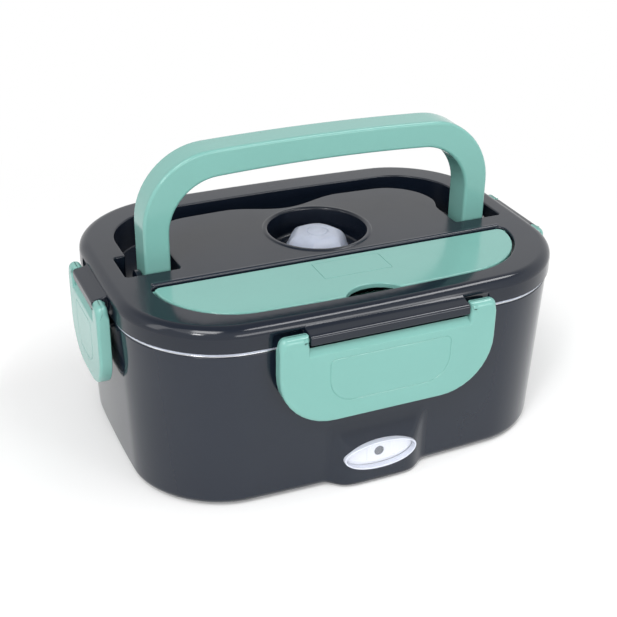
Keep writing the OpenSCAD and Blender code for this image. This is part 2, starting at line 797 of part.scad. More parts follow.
module lid_liner() color([0.20, 0.21, 0.24]) {
    difference() {
        prism(outline(liner_inset), liner_z, ceiling - 0.02);
        prism(outline(liner_inset + liner_t), liner_z + 1.6, ceiling + 1);
        translate([vent_x, vent_y, 0]) cylinder(r = valve_stem_r + 0.8, h = 200);
    }
}

module lid_seal() color(clear) {
    difference() {
        union() {
            prism(outline(flange_inset), flange_top + seal_gap, skirt_z);
            prism(outline(lid_skin + 0.1), skirt_z - eps, skirt_z + seal_tongue);
        }
        prism(outline(liner_inset - 0.15), rim_z, lid_top);
    }
}

// Handle

module leg_end() {
    intersection() {
        union() {
            rod(pivot_front, leg_in, leg_out, pivot_y, pivot_z);
            intersection() {
                rod(pivot_back, leg_in, leg_out, pivot_y, pivot_z);
                block(leg_in, leg_out, pivot_y, leg_y + bail_d, pivot_z - pivot_front, pivot_z + 20);
            }
            block(leg_in, leg_out, leg_y, leg_y + bail_d, pivot_z, pivot_z + 10);
        }
        block(leg_in, leg_out, leg_y, leg_y + bail_d, pivot_z - 20, pivot_z + 10);
    }
}

module handle() color(teal) {
    difference() {
        union() {
            difference() {
                slab(arch(leg_out, pivot_z + 8, grip_top, bail_r, grip_bow), leg_y, leg_y + bail_d);
                slab(arch(leg_in, pivot_z, grip_top - grip_h, bail_in_r, grip_bow), leg_y - 1,
                     leg_y + bail_d + 1);
            }
            both_sides() leg_end();
        }
        both_sides() rod(pin_r + pin_fit, leg_in - 1, leg_out + 1, pivot_y, pivot_z);
    }
}

module handle_pins() color(steel) both_sides()
    rod(pin_r - 0.01, pocket_x0 - 0.9, leg_out + 0.6 + cheek_t, pivot_y, pivot_z);

// Latches, drawn for the front side

function latch_outline(half, r, top) = concat(
    [[half, top]],
    [for (i = [0:12]) let (t = -90 * i / 12)
     [half - r + r * cos(t), lever_z - latch_drop + r + r * sin(t)]],
    [for (i = [0:12]) let (t = -90 - 90 * i / 12)
     [-half + r + r * cos(t), lever_z - latch_drop + r + r * sin(t)]],
    [[-half, top]]);

module latch(half, ear, r) color(teal) {
    inner = half - ear;
    difference() {
        union() {
            slab(latch_outline(half, r, lever_z), -latch_out, -rim_in);
            both_sides() rod(ear_r, inner, half, -lever_w, lever_z);
        }
        // hollow behind the plate
        difference() {
            slab(latch_outline(half - latch_rim, r - latch_rim, cut_z - 2), -latch_out + latch_t, 1);
            block(-inner + 1, inner - 1, -latch_out, -catch_out - hook_gap,
                  catch_z - hook_drop - hook_h, catch_z - hook_drop);
        }
        // the gap that the lid's bar fills
        translate([-inner, 0, 0]) rotate([90, 0, 90]) linear_extrude(2 * inner)
            polygon([[5, cut_z + 1], [5, lever_z + 20], [-20, lever_z + 20], [-20, cut_z],
                     [-latch_out, cut_z], [-latch_out + latch_t, cut_back_z],
                     [-latch_out + latch_t + 0.2, cut_z + 1]]);
    }
    both_sides() rod(lever_pin_r, inner - lever_pin_l, inner + 1, -lever_w, lever_z);
}

module front_latch() on_front() latch(latch_w / 2, ear_w, latch_r);
module back_latch() on_back() latch(latch_w / 2, ear_w, latch_r);
module left_latch() on_left() latch(side_latch_w / 2, side_ear_w, side_latch_r);
module right_latch() on_right() latch(side_latch_w / 2, side_ear_w, side_latch_r);

// Cutlery cover, hinged along its straight back edge

module cutlery_cover() color(teal) {
    difference() {
        union() {
            cover_form(0, cover_top - cover_t, cover_top);
            difference() {
                cover_form(-0.4, cover_top - cover_t - cover_skirt, cover_top - cover_t + eps);
                cover_form(-2.4, cover_top - 10, cover_top);
            }
        }
        // the finger scoop leaves a thin ledge to lift
        translate([0, -cover_front - scoop_w / 2 * 0.6, cover_top - cover_t * 0.7])
            cylinder(r = scoop_w * 0.56, h = 5);
    }
    both_sides() {
        block(cover_a - 8, cover_a - 2, flap_y - 1.4, flap_y + 1.4,
              cover_top - cover_t - cover_skirt, cover_top - 0.5);
        rod(flap_pin_r, cover_a - 6, cover_a + cover_gap + flap_pin_l - 0.3, flap_y, flap_z);
    }
}

// Steam vent

module vent_valve() color(clear) translate([vent_x, vent_y, 0]) {
    low = vent_floor + 0.1;
    difference() {
        rotate_extrude() polygon(concat(
            [[0, low], [valve_r + 0.9, low], [valve_r + 0.9, low + 1.4], [valve_r, low + 1.8]],
            [for (i = [0:8]) let (t = 90 * i / 8)
             [valve_cap_r + (valve_r - valve_cap_r) * cos(t), low + 1.8 + (valve_top - low - 1.8) * sin(t)]],
            [[0, valve_top]]));
        for (k = [0:5]) rotate([0, 0, 60 * k + 30]) translate([valve_r + 6.2, 0, low + 1.6])
            cylinder(r = 8, h = 20);
        translate([0, 0, valve_top - 0.5]) difference() {
            cylinder(r = valve_cap_r - 0.6, h = 2);
            translate([0, 0, -1]) cylinder(r = valve_cap_r - 1.2, h = 4);
        }
    }
    translate([0, 0, liner_z + 2]) cylinder(r = valve_stem_r, h = low - liner_z - 2 + eps);
}

// Cutlery stored in the well: each grip's mouth is at x = 0 of its own place, the steel in front of it

grip_round = 4.5;
tool_t = 4;
shank_w = 5.8;
shank_t = 1;
shank_z = (tool_t - shank_t) / 2;
slot_l = 11;
slot_fit = 0.05;
spoon_l = 80;
fork_l = 68;
bowl_r = 15.3;
bowl_t = 0.8;
bowl_h = 5.3;
bowl_x = 40;
bowl_neck = 6.9;
tine_w = 2.8;
tine_gap = 1.8;
tine_l = 14;
head_x = 32;
head_half = (4 * tine_w + 3 * tine_gap) / 2;
spoon_x = 14;
spoon_y = -cover_back - 13;
fork_x = -16;
fork_y = -cover_back - 28.5;
cutlery_z = cutlery_floor + 0.3;

module spoon_place() { translate([spoon_x, spoon_y, cutlery_z]) children(); }
module fork_place() { translate([fork_x, fork_y, cutlery_z]) mirror([1, 0, 0]) children(); }

module tool_grip(length) {
    difference() {
        union() {
            block(grip_round - length, -grip_round, -grip_round, grip_round, 0, tool_t);
            translate([grip_round - length, 0, 0]) cylinder(r = grip_round, h = tool_t);
            translate([-grip_round, 0, 0]) cylinder(r = grip_round, h = tool_t);
        }
        block(-slot_l, 1, -shank_w / 2 - slot_fit, shank_w / 2 + slot_fit,
              shank_z - slot_fit, shank_z + shank_t + slot_fit);
    }
}

module shank(length) {
    block(slot_fit - slot_l, length, -shank_w / 2, shank_w / 2, shank_z, shank_z + shank_t);
}

module spoon_grip() color(teal) spoon_place() tool_grip(spoon_l);
module fork_grip() color(teal) fork_place() tool_grip(fork_l);

module spoon_bowl() color(steel) spoon_place() {
    shank(bowl_x - bowl_neck);
    translate([bowl_x, 0, bowl_r]) difference() {
        intersection() {
            sphere(r = bowl_r);
            translate([0, 0, -bowl_r - 1]) cylinder(r = bowl_r, h = bowl_h + 1);
        }
        sphere(r = bowl_r - bowl_t);
    }
}

module fork_head() color(steel) fork_place() {
    shank(head_x);
    translate([0, 0, shank_z]) difference() {
        union() {
            translate([head_x, 0, 0]) cylinder(r = head_half, h = shank_t);
            block(head_x, head_x + tine_l, -head_half, head_half, 0, shank_t);
        }
        for (k = [-1:1]) translate([0, k * (tine_w + tine_gap), 0])
            block(head_x + 2, head_x + tine_l + 1, -tine_gap / 2, tine_gap / 2, -1, shank_t + 1);
    }
}

body_shell();
base_cover();
base_screws();
feet();
heating_plate();
heater_element();
heater_clamp();
clamp_screws();
thermostat();
thermal_fuse();
indicator_lens();
lens_studs();
led_board();
indicator_led();
power_inlet();
inlet_pins();
live_wire();
neutral_wire();
food_tray();
side_dish();
side_dish_seal();
side_dish_lid();
lid_shell();
lid_liner();
lid_seal();
handle();
handle_pins();
front_latch();
back_latch();
left_latch();
right_latch();
cutlery_cover();
vent_valve();
spoon_bowl();
spoon_grip();
fork_head();
fork_grip();
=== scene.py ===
"""Dresses the electric lunch box: smooth shells, finishes, studio light and camera.

Lengths are millimetres until a mesh is cast into the scene, X runs along the box, the front
faces -Y and Z is up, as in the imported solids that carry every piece.
"""

import logging
import math
from dataclasses import dataclass
from enum import Enum
from typing import Callable, Iterable, Sequence, Union

import bmesh
import bpy
from mathutils import Matrix, Vector


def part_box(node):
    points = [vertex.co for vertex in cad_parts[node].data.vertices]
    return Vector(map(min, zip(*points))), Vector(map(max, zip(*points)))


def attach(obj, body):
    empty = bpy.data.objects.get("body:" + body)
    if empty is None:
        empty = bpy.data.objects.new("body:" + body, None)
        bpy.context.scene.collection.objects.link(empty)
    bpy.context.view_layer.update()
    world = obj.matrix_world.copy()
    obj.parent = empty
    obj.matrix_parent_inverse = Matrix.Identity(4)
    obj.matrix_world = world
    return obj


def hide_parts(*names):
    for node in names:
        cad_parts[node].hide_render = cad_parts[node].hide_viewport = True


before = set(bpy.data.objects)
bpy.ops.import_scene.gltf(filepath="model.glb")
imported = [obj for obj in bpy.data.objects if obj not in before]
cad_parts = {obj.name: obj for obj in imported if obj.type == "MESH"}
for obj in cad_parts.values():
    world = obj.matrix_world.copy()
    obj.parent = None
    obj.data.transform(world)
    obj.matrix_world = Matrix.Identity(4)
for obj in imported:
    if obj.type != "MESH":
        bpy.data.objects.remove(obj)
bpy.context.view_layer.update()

LOG = logging.getLogger("lunch_box")
MM = 0.001
CREASE = math.radians(38)
LEVEL = 0.005

Path = list[Vector]
Ring = list[bmesh.types.BMEdge]
Colour = tuple[int, int, int]
Number = Union[float, "Term"]


def span(node: str) -> tuple[Vector, Vector]:
    """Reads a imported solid's box.

    Args:
        node: The solid's name.

    Returns:
        Its lowest and highest corners in millimetres.
    """
    low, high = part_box(node)
    return low / MM, high / MM


def mix(low: float, high: float, share: float) -> float:
    """Returns the value a share of the way from low to high."""
    return low + (high - low) * share


def ease(value: float) -> float:
    """Returns a smooth step of value from 0 to 1."""
    value = min(1.0, max(0.0, value))
    return value * value * (3 - 2 * value)


def soft_max(first: float, second: float, width: float) -> float:
    """Returns the larger of two values, with the corner between them blended.

    Args:
        first: One value.
        second: The other value.
        width: Difference over which they blend.
    """
    share = min(1.0, max(0.0, 0.5 + 0.5 * (first - second) / width))
    return mix(second, first, share) + width * share * (1 - share)


# Outlines


def walk(shape: bmesh.types.BMesh) -> Path:
    """Lists the points of the one closed loop of edges in a mesh, anticlockwise.

    Args:
        shape: A mesh that holds nothing but that loop.

    Returns:
        The points in order.
    """
    start = shape.verts[:][0]
    path, vert, edge = [], start, start.link_edges[0]
    while not path or vert is not start:
        path.append(vert.co.copy())
        vert = edge.other_vert(vert)
        edge = next(link for link in vert.link_edges if link is not edge)
    area = sum(p.x * q.y - q.x * p.y for p, q in zip(path, path[1:] + path[:1]))
    return path if area > 0 else path[:1] + path[:0:-1]


def rounded(corners: Sequence[tuple[float, float, float]], steps: int = 8, pitch: float = 3.0) -> Path:
    """Rounds the corners of a polygon and divides its straight stretches.

    Args:
        corners: x, y and radius of each corner.
        steps: Segments in each rounded corner.
        pitch: Longest segment left in a straight stretch.

    Returns:
        The closed outline, anticlockwise.
    """
    shape = bmesh.new()
    verts = [shape.verts.new((x, y, 0)) for x, y, _ in corners]
    shape.faces.new(verts)
    for vert, (_, _, radius) in zip(verts, corners):
        if radius > 0:
            bmesh.ops.bevel(shape, geom=[vert], affect="VERTICES", offset=radius, offset_type="OFFSET",
                            segments=steps, profile=0.5, material=-1, clamp_overlap=False)
    bmesh.ops.delete(shape, geom=shape.faces[:], context="FACES_ONLY")
    for edge in shape.edges[:]:
        cuts = int(edge.calc_length() / pitch)
        if cuts:
            bmesh.ops.subdivide_edges(shape, edges=[edge], cuts=cuts)
    path = walk(shape)
    shape.free()
    return path


def bowed(a: float, b: float, radius: float, bow_y: float, bow_x: float,
          steps: int = 20, pitch: float = 2.0) -> Path:
    """Makes a rounded rectangle whose sides bow outwards.

    Args:
        a: Half width at the middle of the sides.
        b: Half depth at the middle of the sides.
        radius: Corner radius.
        bow_y: How far the long sides bow.
        bow_x: How far the short sides bow.
        steps: Segments in each corner.
        pitch: Longest segment in a side.

    Returns:
        The closed outline.
    """
    aa, bb = a - bow_x, b - bow_y
    path = rounded([(aa, bb, radius), (-aa, bb, radius), (-aa, -bb, radius), (aa, -bb, radius)],
                   steps, pitch)
    for p in path:
        x, y = p.x, p.y
        p.x += math.copysign(bow_x * (1 - (y / bb) ** 2) * abs(x) / aa, x)
        p.y += math.copysign(bow_y * (1 - (x / aa) ** 2) * abs(y) / bb, y)
    return path


def circle(radius: float, centre: tuple[float, float] = (0, 0), count: int = 96,
           squash: float = 1.0) -> Path:
    """Makes a circle or, with squash below 1, an ellipse.

    Args:
        radius: Radius along X.
        centre: Its centre.
        count: Number of points.
        squash: Radius along Y as a share of the radius along X.

    Returns:
        The closed outline.
    """
    shape = bmesh.new()
    bmesh.ops.create_circle(shape, segments=count, radius=radius)
    bmesh.ops.scale(shape, vec=(1, squash, 1), verts=shape.verts)
    bmesh.ops.translate(shape, vec=(*centre, 0), verts=shape.verts)
    path = walk(shape)
    shape.free()
    return path


def offset(path: Path, distance: Union[float, Sequence[float]]) -> Path:
    """Moves a closed outline outwards.

    Args:
        path: The outline, anticlockwise.
        distance: How far, for all points or for each.

    Returns:
        The moved outline, point for point.
    """
    moved = []
    for i, p in enumerate(path):
        before = (p - path[i - 1]).normalized()
        after = (path[(i + 1) % len(path)] - p).normalized()
        normal = Vector((before.y + after.y, -before.x - after.x, 0)).normalized()
        stretch = 1 / max(0.5, normal.dot(Vector((after.y, -after.x, 0))))
        step = distance if isinstance(distance, (int, float)) else distance[i]
        moved.append(p + normal * step * stretch)
    return moved


def arc(centre: tuple[float, float], radius: float, start: float, end: float,
        steps: int = 6) -> list[tuple[float, float]]:
    """Lists the points of an arc in a profile.

    Args:
        centre: Offset and height of its centre.
        radius: Its radius.
        start: First angle in degrees, 0 pointing outwards and 90 up.
        end: Last angle in degrees.
        steps: Number of segments.

    Returns:
        Offset and height of each point.
    """
    angles = [math.radians(mix(start, end, i / steps)) for i in range(steps + 1)]
    return [(centre[0] + radius * math.cos(t), centre[1] + radius * math.sin(t)) for t in angles]


# Meshes


class Combine(Enum):
    """How one closed mesh meets another."""

    CUT = "DIFFERENCE"
    JOIN = "UNION"
    TRIM = "INTERSECT"


class Mould:
    """A mesh in the making, in millimetres."""

    def __init__(self) -> None:
        """Starts empty."""
        self.mesh = bmesh.new()

    def ring(self, path: Path, z: float | None = None) -> Ring:
        """Adds a closed loop of edges.

        Args:
            path: Its points.
            z: Height of the whole loop, or None to take each point's own.

        Returns:
            The loop's edges.
        """
        verts = [self.mesh.verts.new((p.x, p.y, p.z if z is None else z)) for p in path]
        return [self.mesh.edges.new(pair) for pair in zip(verts, verts[1:] + verts[:1])]

    def skin(self, rings: Sequence[Ring]) -> None:
        """Joins each loop to the next one with faces.

        A loop at the height of the one before it is lifted while they are joined, because the
        operator can't tell which way round two loops in one plane run.
        """
        for low, high in zip(rings, rings[1:]):
            ends = [{vert for edge in ring for vert in edge.verts} for ring in (low, high)]
            heights = [vert.co.z for vert in ends[0] | ends[1]]
            lift = Vector((0, 0, 1)) if max(heights) - min(heights) < LEVEL else Vector()
            bmesh.ops.translate(self.mesh, vec=lift, verts=list(ends[1]))
            bmesh.ops.bridge_loops(self.mesh, edges=[*low, *high])
            bmesh.ops.translate(self.mesh, vec=-lift, verts=list(ends[1]))

    def loft(self, sections: Iterable[tuple[Path, float | None]]) -> tuple[Ring, Ring]:
        """Adds a loop for each section and joins them in order.

        Args:
            sections: Outline and height of each loop.

        Returns:
            The first loop and the last.
        """
        rings = [self.ring(path, z) for path, z in sections]
        self.skin(rings)
        return rings[0], rings[-1]

    def tube(self, sections: Iterable[tuple[Path, float | None]]) -> None:
        """Joins loops in order and the last one to the first, round a closed profile.

        The first loop is made twice, and the doubles are merged when the mesh is cast.

        Args:
            sections: Outline and height of each loop.
        """
        loops = list(sections)
        self.loft(loops + loops[:1])

    def sweep(self, shape: Callable[[float], Path], profile: Sequence[tuple[float, float]]) -> tuple[Ring, Ring]:
        """Lofts an outline along a profile.

        Args:
            shape: Gives the outline grown by an offset.
            profile: Offset and height of each loop.

        Returns:
            The first loop and the last.
        """
        return self.loft((shape(grow), z) for grow, z in profile)

    def fill(self, *rings: Ring) -> None:
        """Closes flat loops with faces; a loop inside another becomes a hole."""
        bmesh.ops.triangle_fill(self.mesh, use_beauty=True, use_dissolve=False,
                                edges=[edge for ring in rings for edge in ring])

    def prism(self, path: Path, z0: float, z1: float, edge: float = 0.4, steps: int = 3) -> None:
        """Adds a closed prism with rounded edges.

        Args:
            path: Its outline.
            z0: Height of its lower face.
            z1: Height of its upper face.
            edge: Radius of the edges round both faces.
            steps: Segments in each rounded edge.
        """
        profile = (arc((-edge, z0 + edge), edge, -90, 0, steps)
                   + arc((-edge, z1 - edge), edge, 0, 90, steps))
        self.fill_ends(self.sweep(lambda grow: offset(path, grow), profile))

    def fill_ends(self, ends: tuple[Ring, Ring]) -> None:
        """Closes the first and the last loop of a loft."""
        for ring in ends:
            self.fill(ring)

    def rod(self, radius: float, x0: float, x1: float, y: float, z: float, count: int = 48,
            edge: float = 0.2) -> None:
        """Adds a round bar along X with softened ends.

        Args:
            radius: Its radius.
            x0: Where it starts.
            x1: Where it ends.
            y: Place of its axis.
            z: Height of its axis.
            count: Sides.
            edge: Radius of its ends' edges.
        """
        bar = Mould()
        bar.prism(circle(radius, count=count), x0, x1, edge)
        bar.place(Matrix.Translation((0, y, z)) @ Matrix(((0, 0, 1, 0), (1, 0, 0, 0), (0, 1, 0, 0), (0, 0, 0, 1))))
        self.add(bar)

    def place(self, matrix: Matrix) -> "Mould":
        """Moves or turns the whole mesh and returns it."""
        bmesh.ops.transform(self.mesh, matrix=matrix, verts=self.mesh.verts)
        return self

    def add(self, other: "Mould") -> None:
        """Takes in another mould's mesh as a shell of its own."""
        data = bpy.data.meshes.new("part")
        other.mesh.to_mesh(data)
        self.mesh.from_mesh(data)
        bpy.data.meshes.remove(data)
        other.mesh.free()

    def tidy(self) -> None:
        """Merges doubles and turns every face outwards."""
        bmesh.ops.remove_doubles(self.mesh, verts=self.mesh.verts, dist=0.0005)
        bmesh.ops.recalc_face_normals(self.mesh, faces=self.mesh.faces)

    def shape(self, name: str) -> bpy.types.Object:
        """Puts the mesh, as it is, into an object in the scene."""
        self.tidy()
        data = bpy.data.meshes.new(name)
        self.mesh.to_mesh(data)
        thing = bpy.data.objects.new(name, data)
        bpy.context.scene.collection.objects.link(thing)
        return thing

    def combine(self, other: "Mould", how: Combine) -> None:
        """Cuts another closed mesh out of this one, or joins it on.

        Args:
            other: The other mesh, which is used up.
            how: Whether it cuts or joins.
        """
        mine, theirs = self.shape("mine"), other.shape("theirs")
        modifier = mine.modifiers.new("combine", "BOOLEAN")
        modifier.operation = how.value
        modifier.object = theirs
        modifier.solver = "EXACT"
        result = bpy.data.meshes.new_from_object(mine.evaluated_get(bpy.context.evaluated_depsgraph_get()))
        self.mesh.clear()
        self.mesh.from_mesh(result)
        other.mesh.free()
        for data in (result, mine.data, theirs.data):
            bpy.data.meshes.remove(data)

    def cast(self, name: str, finish: "Finish", body: str, *nodes: str) -> bpy.types.Object:
        """Finishes the mesh and makes it a piece of the box.

        Args:
            name: The piece's name.
            finish: What it is made of.
            body: The body it moves with.
            *nodes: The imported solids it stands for.

        Returns:
            The piece.
        """
        self.tidy()
        for face in self.mesh.faces:
            face.smooth = True
        for edge in self.mesh.edges:
            edge.smooth = edge.calc_face_angle(0.0) < CREASE
        bmesh.ops.scale(self.mesh, vec=(MM, MM, MM), verts=self.mesh.verts)
        data = bpy.data.meshes.new(name)
        self.mesh.to_mesh(data)
        self.mesh.free()
        piece = bpy.data.objects.new(name, data)
        bpy.context.scene.collection.objects.link(piece)
        data.materials.append(finish.material())
        even = piece.modifiers.new("even_faces", "WEIGHTED_NORMAL")
        even.weight = 60
        even.keep_sharp = True
        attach(piece, body)
        if nodes:
            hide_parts(*nodes)
        LOG.info("%s: %d faces, rides on %s", name, len(data.polygons), body)
        return piece


# Shaders


class Term:
    """A shader value that takes part in Python sums."""

    def __init__(self, recipe: "Recipe", socket: bpy.types.NodeSocket) -> None:
        """Wraps an output socket of a recipe's node."""
        self.recipe = recipe
        self.socket = socket

    def maths(self, operation: str, *values: Number) -> "Term":
        """Adds a Math node over some values.

        Args:
            operation: The node's operation.
            *values: Its inputs in order.

        Returns:
            The node's result.
        """
        node = self.recipe.node("ShaderNodeMath", dict(enumerate(values)), operation=operation)
        return Term(self.recipe, node.outputs[0])

    def __add__(self, other: Number) -> "Term":
        """Returns self + other."""
        return self.maths("ADD", self, other)

    def __radd__(self, other: Number) -> "Term":
        """Returns other + self."""
        return self.maths("ADD", other, self)

    def __sub__(self, other: Number) -> "Term":
        """Returns self - other."""
        return self.maths("SUBTRACT", self, other)

    def __rsub__(self, other: Number) -> "Term":
        """Returns other - self."""
        return self.maths("SUBTRACT", other, self)

    def __mul__(self, other: Number) -> "Term":
        """Returns self * other."""
        return self.maths("MULTIPLY", self, other)

    def __rmul__(self, other: Number) -> "Term":
        """Returns other * self."""
        return self.maths("MULTIPLY", other, self)

    def __pow__(self, other: Number) -> "Term":
        """Returns self to the power other."""
        return self.maths("POWER", self, other)

    def __gt__(self, other: Number) -> "Term":
        """Returns 1 where self is above other, and 0 elsewhere."""
        return self.maths("GREATER_THAN", self, other)

    def between(self, low: float, high: float) -> "Term":
        """Returns 0 below low, 1 above high and a smooth step between."""
        node = self.recipe.node("ShaderNodeMapRange", {"Value": self, "From Min": low, "From Max": high},
                                interpolation_type="SMOOTHSTEP")
        return Term(self.recipe, node.outputs[0])


class Recipe:
    """The nodes of one material."""

    def __init__(self, name: str) -> None:
        """Starts a material with an empty node tree."""
        self.material = bpy.data.materials.new(name)
        self.material.use_nodes = True
        self.tree = self.material.node_tree
        self.tree.nodes.clear()

    def node(self, kind: str, inputs: dict | None = None, **settings: object) -> bpy.types.Node:
        """Adds one node.

        Args:
            kind: The node's type.
            inputs: Value or link of each input, by its name or number.
            **settings: The node's own settings, set first.

        Returns:
            The node.
        """
        node = self.tree.nodes.new(kind)
        for name, value in settings.items():
            setattr(node, name, value)
        for name, value in (inputs or {}).items():
            source = value.socket if isinstance(value, Term) else value
            if isinstance(source, bpy.types.NodeSocket):
                self.tree.links.new(source, node.inputs[name])
            else:
                node.inputs[name].default_value = source
        return node

    def place(self, stretch: tuple[float, float, float] = (1, 1, 1)) -> bpy.types.NodeSocket:
        """Returns the object's own coordinates, stretched along each axis."""
        coordinates = self.node("ShaderNodeTexCoord").outputs["Object"]
        return self.node("ShaderNodeMapping", {"Vector": coordinates, "Scale": stretch}).outputs[0]

    def noise(self, pitch: float, detail: float = 2.0, stretch: tuple[float, float, float] = (1, 1, 1)) -> Term:
        """Adds noise.

        Args:
            pitch: Size of its largest features in millimetres.
            detail: Octaves of finer noise on top.
            stretch: Scale along each axis.

        Returns:
            A value round 0.5.
        """
        node = self.node("ShaderNodeTexNoise", {"Vector": self.place(stretch), "Scale": 1 / (pitch * MM),
                                                "Detail": detail, "Roughness": 0.55})
        return Term(self, node.outputs[0])

    def towards_front(self, near: float, far: float) -> Term:
        """Returns 0 at the middle of the box and 1 at its front, with a smooth step between.

        Args:
            near: Distance from the middle where the step starts, in millimetres.
            far: Distance from the middle where it ends.
        """
        parts = self.node("ShaderNodeSeparateXYZ", {"Vector": self.place()})
        return (Term(self, parts.outputs["Y"]) * -1.0).between(
            near * MM, far * MM)

    def specks(self, pitch: float, size: float) -> Term:
        """Adds scattered specks.

        Args:
            pitch: Distance between them in millimetres.
            size: Share of that distance that a speck covers.

        Returns:
            1 inside a speck and 0 elsewhere.
        """
        node = self.node("ShaderNodeTexVoronoi", {"Vector": self.place(), "Scale": 1 / (pitch * MM)},
                         feature="F1")
        return 1 - Term(self, node.outputs["Distance"]).between(size * 0.6, size)

    def blend(self, share: Number, first: object, second: object) -> bpy.types.NodeSocket:
        """Mixes two colours.

        Args:
            share: How much of the second.
            first: A colour or a link.
            second: A colour or a link.

        Returns:
            The mixed colour.
        """
        node = self.node("ShaderNodeMix", data_type="RGBA")
        for socket, value in zip((node.inputs[0], node.inputs[6], node.inputs[7]), (share, first, second)):
            source = value.socket if isinstance(value, Term) else value
            if isinstance(source, bpy.types.NodeSocket):
                self.tree.links.new(source, socket)
            else:
                socket.default_value = source
        return node.outputs[2]

    def bump(self, height: Term, distance: float, strength: float = 1.0) -> bpy.types.NodeSocket:
        """Turns a height into a bumped normal.

        Args:
            height: The height, 0 to 1.
            distance: Height of 1 in millimetres.
            strength: Strength of the bump.

        Returns:
            The normal.
        """
        return self.node("ShaderNodeBump", {"Height": height, "Distance": distance * MM,
                                            "Strength": strength}).outputs[0]

    def finish(self, inputs: dict) -> bpy.types.Material:
        """Adds the surface shader and the output.

        Args:
            inputs: Value or link of each shader input.

        Returns:
            The material.
        """
        shader = self.node("ShaderNodeBsdfPrincipled", inputs)
        self.node("ShaderNodeOutputMaterial", {"Surface": shader.outputs[0]})
        return self.material


def linear(colour: Colour, shade: float = 1.0) -> tuple[float, float, float, float]:
    """Converts a written colour to the renderer's values.

    Args:
        colour: Red, green and blue, 0 to 255, as seen on a screen.
        shade: Factor on the result.

    Returns:
        Red, green, blue and alpha, 0 to 1.
    """
    parts = [c / 255 for c in colour]
    values = [p / 12.92 if p <= 0.04045 else ((p + 0.055) / 1.055) ** 2.4 for p in parts]
    return (*[min(1.0, v * shade) for v in values], 1.0)


@dataclass(frozen=True)
class Finish:
    """What every finish has: a slot, and a name made from it."""

    slot: str

    @property
    def name(self) -> str:
        """Name of the material."""
        return f"{self.slot}_{self.tag}"

    def build(self) -> bpy.types.Material:
        """Makes the material."""
        raise NotImplementedError

    def material(self) -> bpy.types.Material:
        """Returns the material, made once."""
        return bpy.data.materials.get(self.name) or self.build()


@dataclass(frozen=True)
class Moulded(Finish):
    """Injection-moulded plastic, from mirror gloss to satin."""

    colour: Colour
    rough: float = 0.2
    smear: float = 0.08
    ripple: float = 0.02
    ripple_pitch: float = 9.0
    grain: float = 0.004
    grain_pitch: float = 0.5
    mottle: float = 0.06
    coat: float = 0.0
    gleam: float = 0.5
    clear: float = 0.0
    alpha: float = 1.0
    dust: float = 0.1
    polish: float = 0.0
    # glow: strength of a painted glow in the finish's own colour, light the part gives though it is no lamp
    glow: float = 0.0
    tag: str = "plastic"

    def build(self) -> bpy.types.Material:
        """Makes the material: mottled colour, handled gloss, flow ripples and fine grain."""
        recipe = Recipe(self.name)
        cloud = recipe.noise(28, 3)
        fine = recipe.noise(2.2, 4)
        tone = (cloud * 0.7 + fine * 0.3).between(0.3, 0.7)
        colour = recipe.blend(tone, linear(self.colour, 1 - self.mottle), linear(self.colour, 1 + self.mottle))
        dust = recipe.specks(3.4, 0.05) * (recipe.noise(13, 1) > 0.58)
        colour = recipe.blend(dust * self.dust, colour, linear((176, 178, 180)))
        smears = recipe.noise(16, 4, (1.0, 1.0, 0.35)).between(0.42, 0.68)
        scuffs = recipe.noise(0.8, 2, (0.05, 0.6, 1.0)).between(0.62, 0.75)
        rough = self.rough + smears * self.smear + scuffs * (self.smear * 0.5) + dust * self.dust
        if self.polish:
            rough = rough - self.polish * recipe.towards_front(30, 62)
        height = recipe.noise(self.ripple_pitch, 1) * self.ripple + recipe.noise(self.grain_pitch, 2) * self.grain
        # Emission Color and Emission Strength carry the painted glow set by glow.
        return recipe.finish({
            "Base Color": colour, "Roughness": rough, "Normal": recipe.bump(height, 1.0),
            "Coat Weight": self.coat, "Coat Roughness": 0.04, "Specular IOR Level": self.gleam,
            "Transmission Weight": self.clear, "IOR": 1.46, "Alpha": self.alpha,
            "Emission Color": linear(self.colour), "Emission Strength": self.glow})


@dataclass(frozen=True)
class Metal(Finish):
    """Sheet or turned metal with a drawn grain."""

    colour: Colour
    rough: float = 0.25
    draw: tuple[float, float, float] = (0.04, 1.0, 1.0)
    grain: float = 0.004
    stain: float = 0.05
    tag: str = "metal"

    def build(self) -> bpy.types.Material:
        """Makes the material: brushed lines, faint staining and an uneven polish."""
        recipe = Recipe(self.name)
        lines = recipe.noise(0.5, 3, self.draw)
        cloud = recipe.noise(22, 3)
        colour = recipe.blend(cloud.between(0.35, 0.65), linear(self.colour, 1 - self.stain), linear(self.colour))
        rough = self.rough + (cloud - 0.5) * 0.12 + (lines - 0.5) * 0.1
        return recipe.finish({
            "Base Color": colour, "Roughness": rough, "Metallic": 1.0,
            "Normal": recipe.bump(lines, self.grain)})


@dataclass(frozen=True)
class Rubber(Finish):
    """Silicone and rubber: soft, translucent where it is pale, with a dusty bloom."""

    colour: Colour
    rough: float = 0.45
    clear: float = 0.0
    glow: float = 0.0
    grain: float = 0.01
    tag: str = "rubber"

    def build(self) -> bpy.types.Material:
        """Makes the material: cloudy colour, a dull bloom and a fine skin."""
        recipe = Recipe(self.name)
        cloud = recipe.noise(7, 4)
        colour = recipe.blend(cloud.between(0.35, 0.7), linear(self.colour, 0.93), linear(self.colour, 1.04))
        bloom = recipe.noise(3, 4).between(0.45, 0.75)
        return recipe.finish({
            "Base Color": colour, "Roughness": self.rough + bloom * 0.14,
            "Normal": recipe.bump(recipe.noise(0.6, 3), self.grain),
            "Transmission Weight": self.clear, "IOR": 1.41,
            "Subsurface Weight": self.glow, "Subsurface Radius": (1.0, 1.0, 1.1), "Subsurface Scale": 0.003})


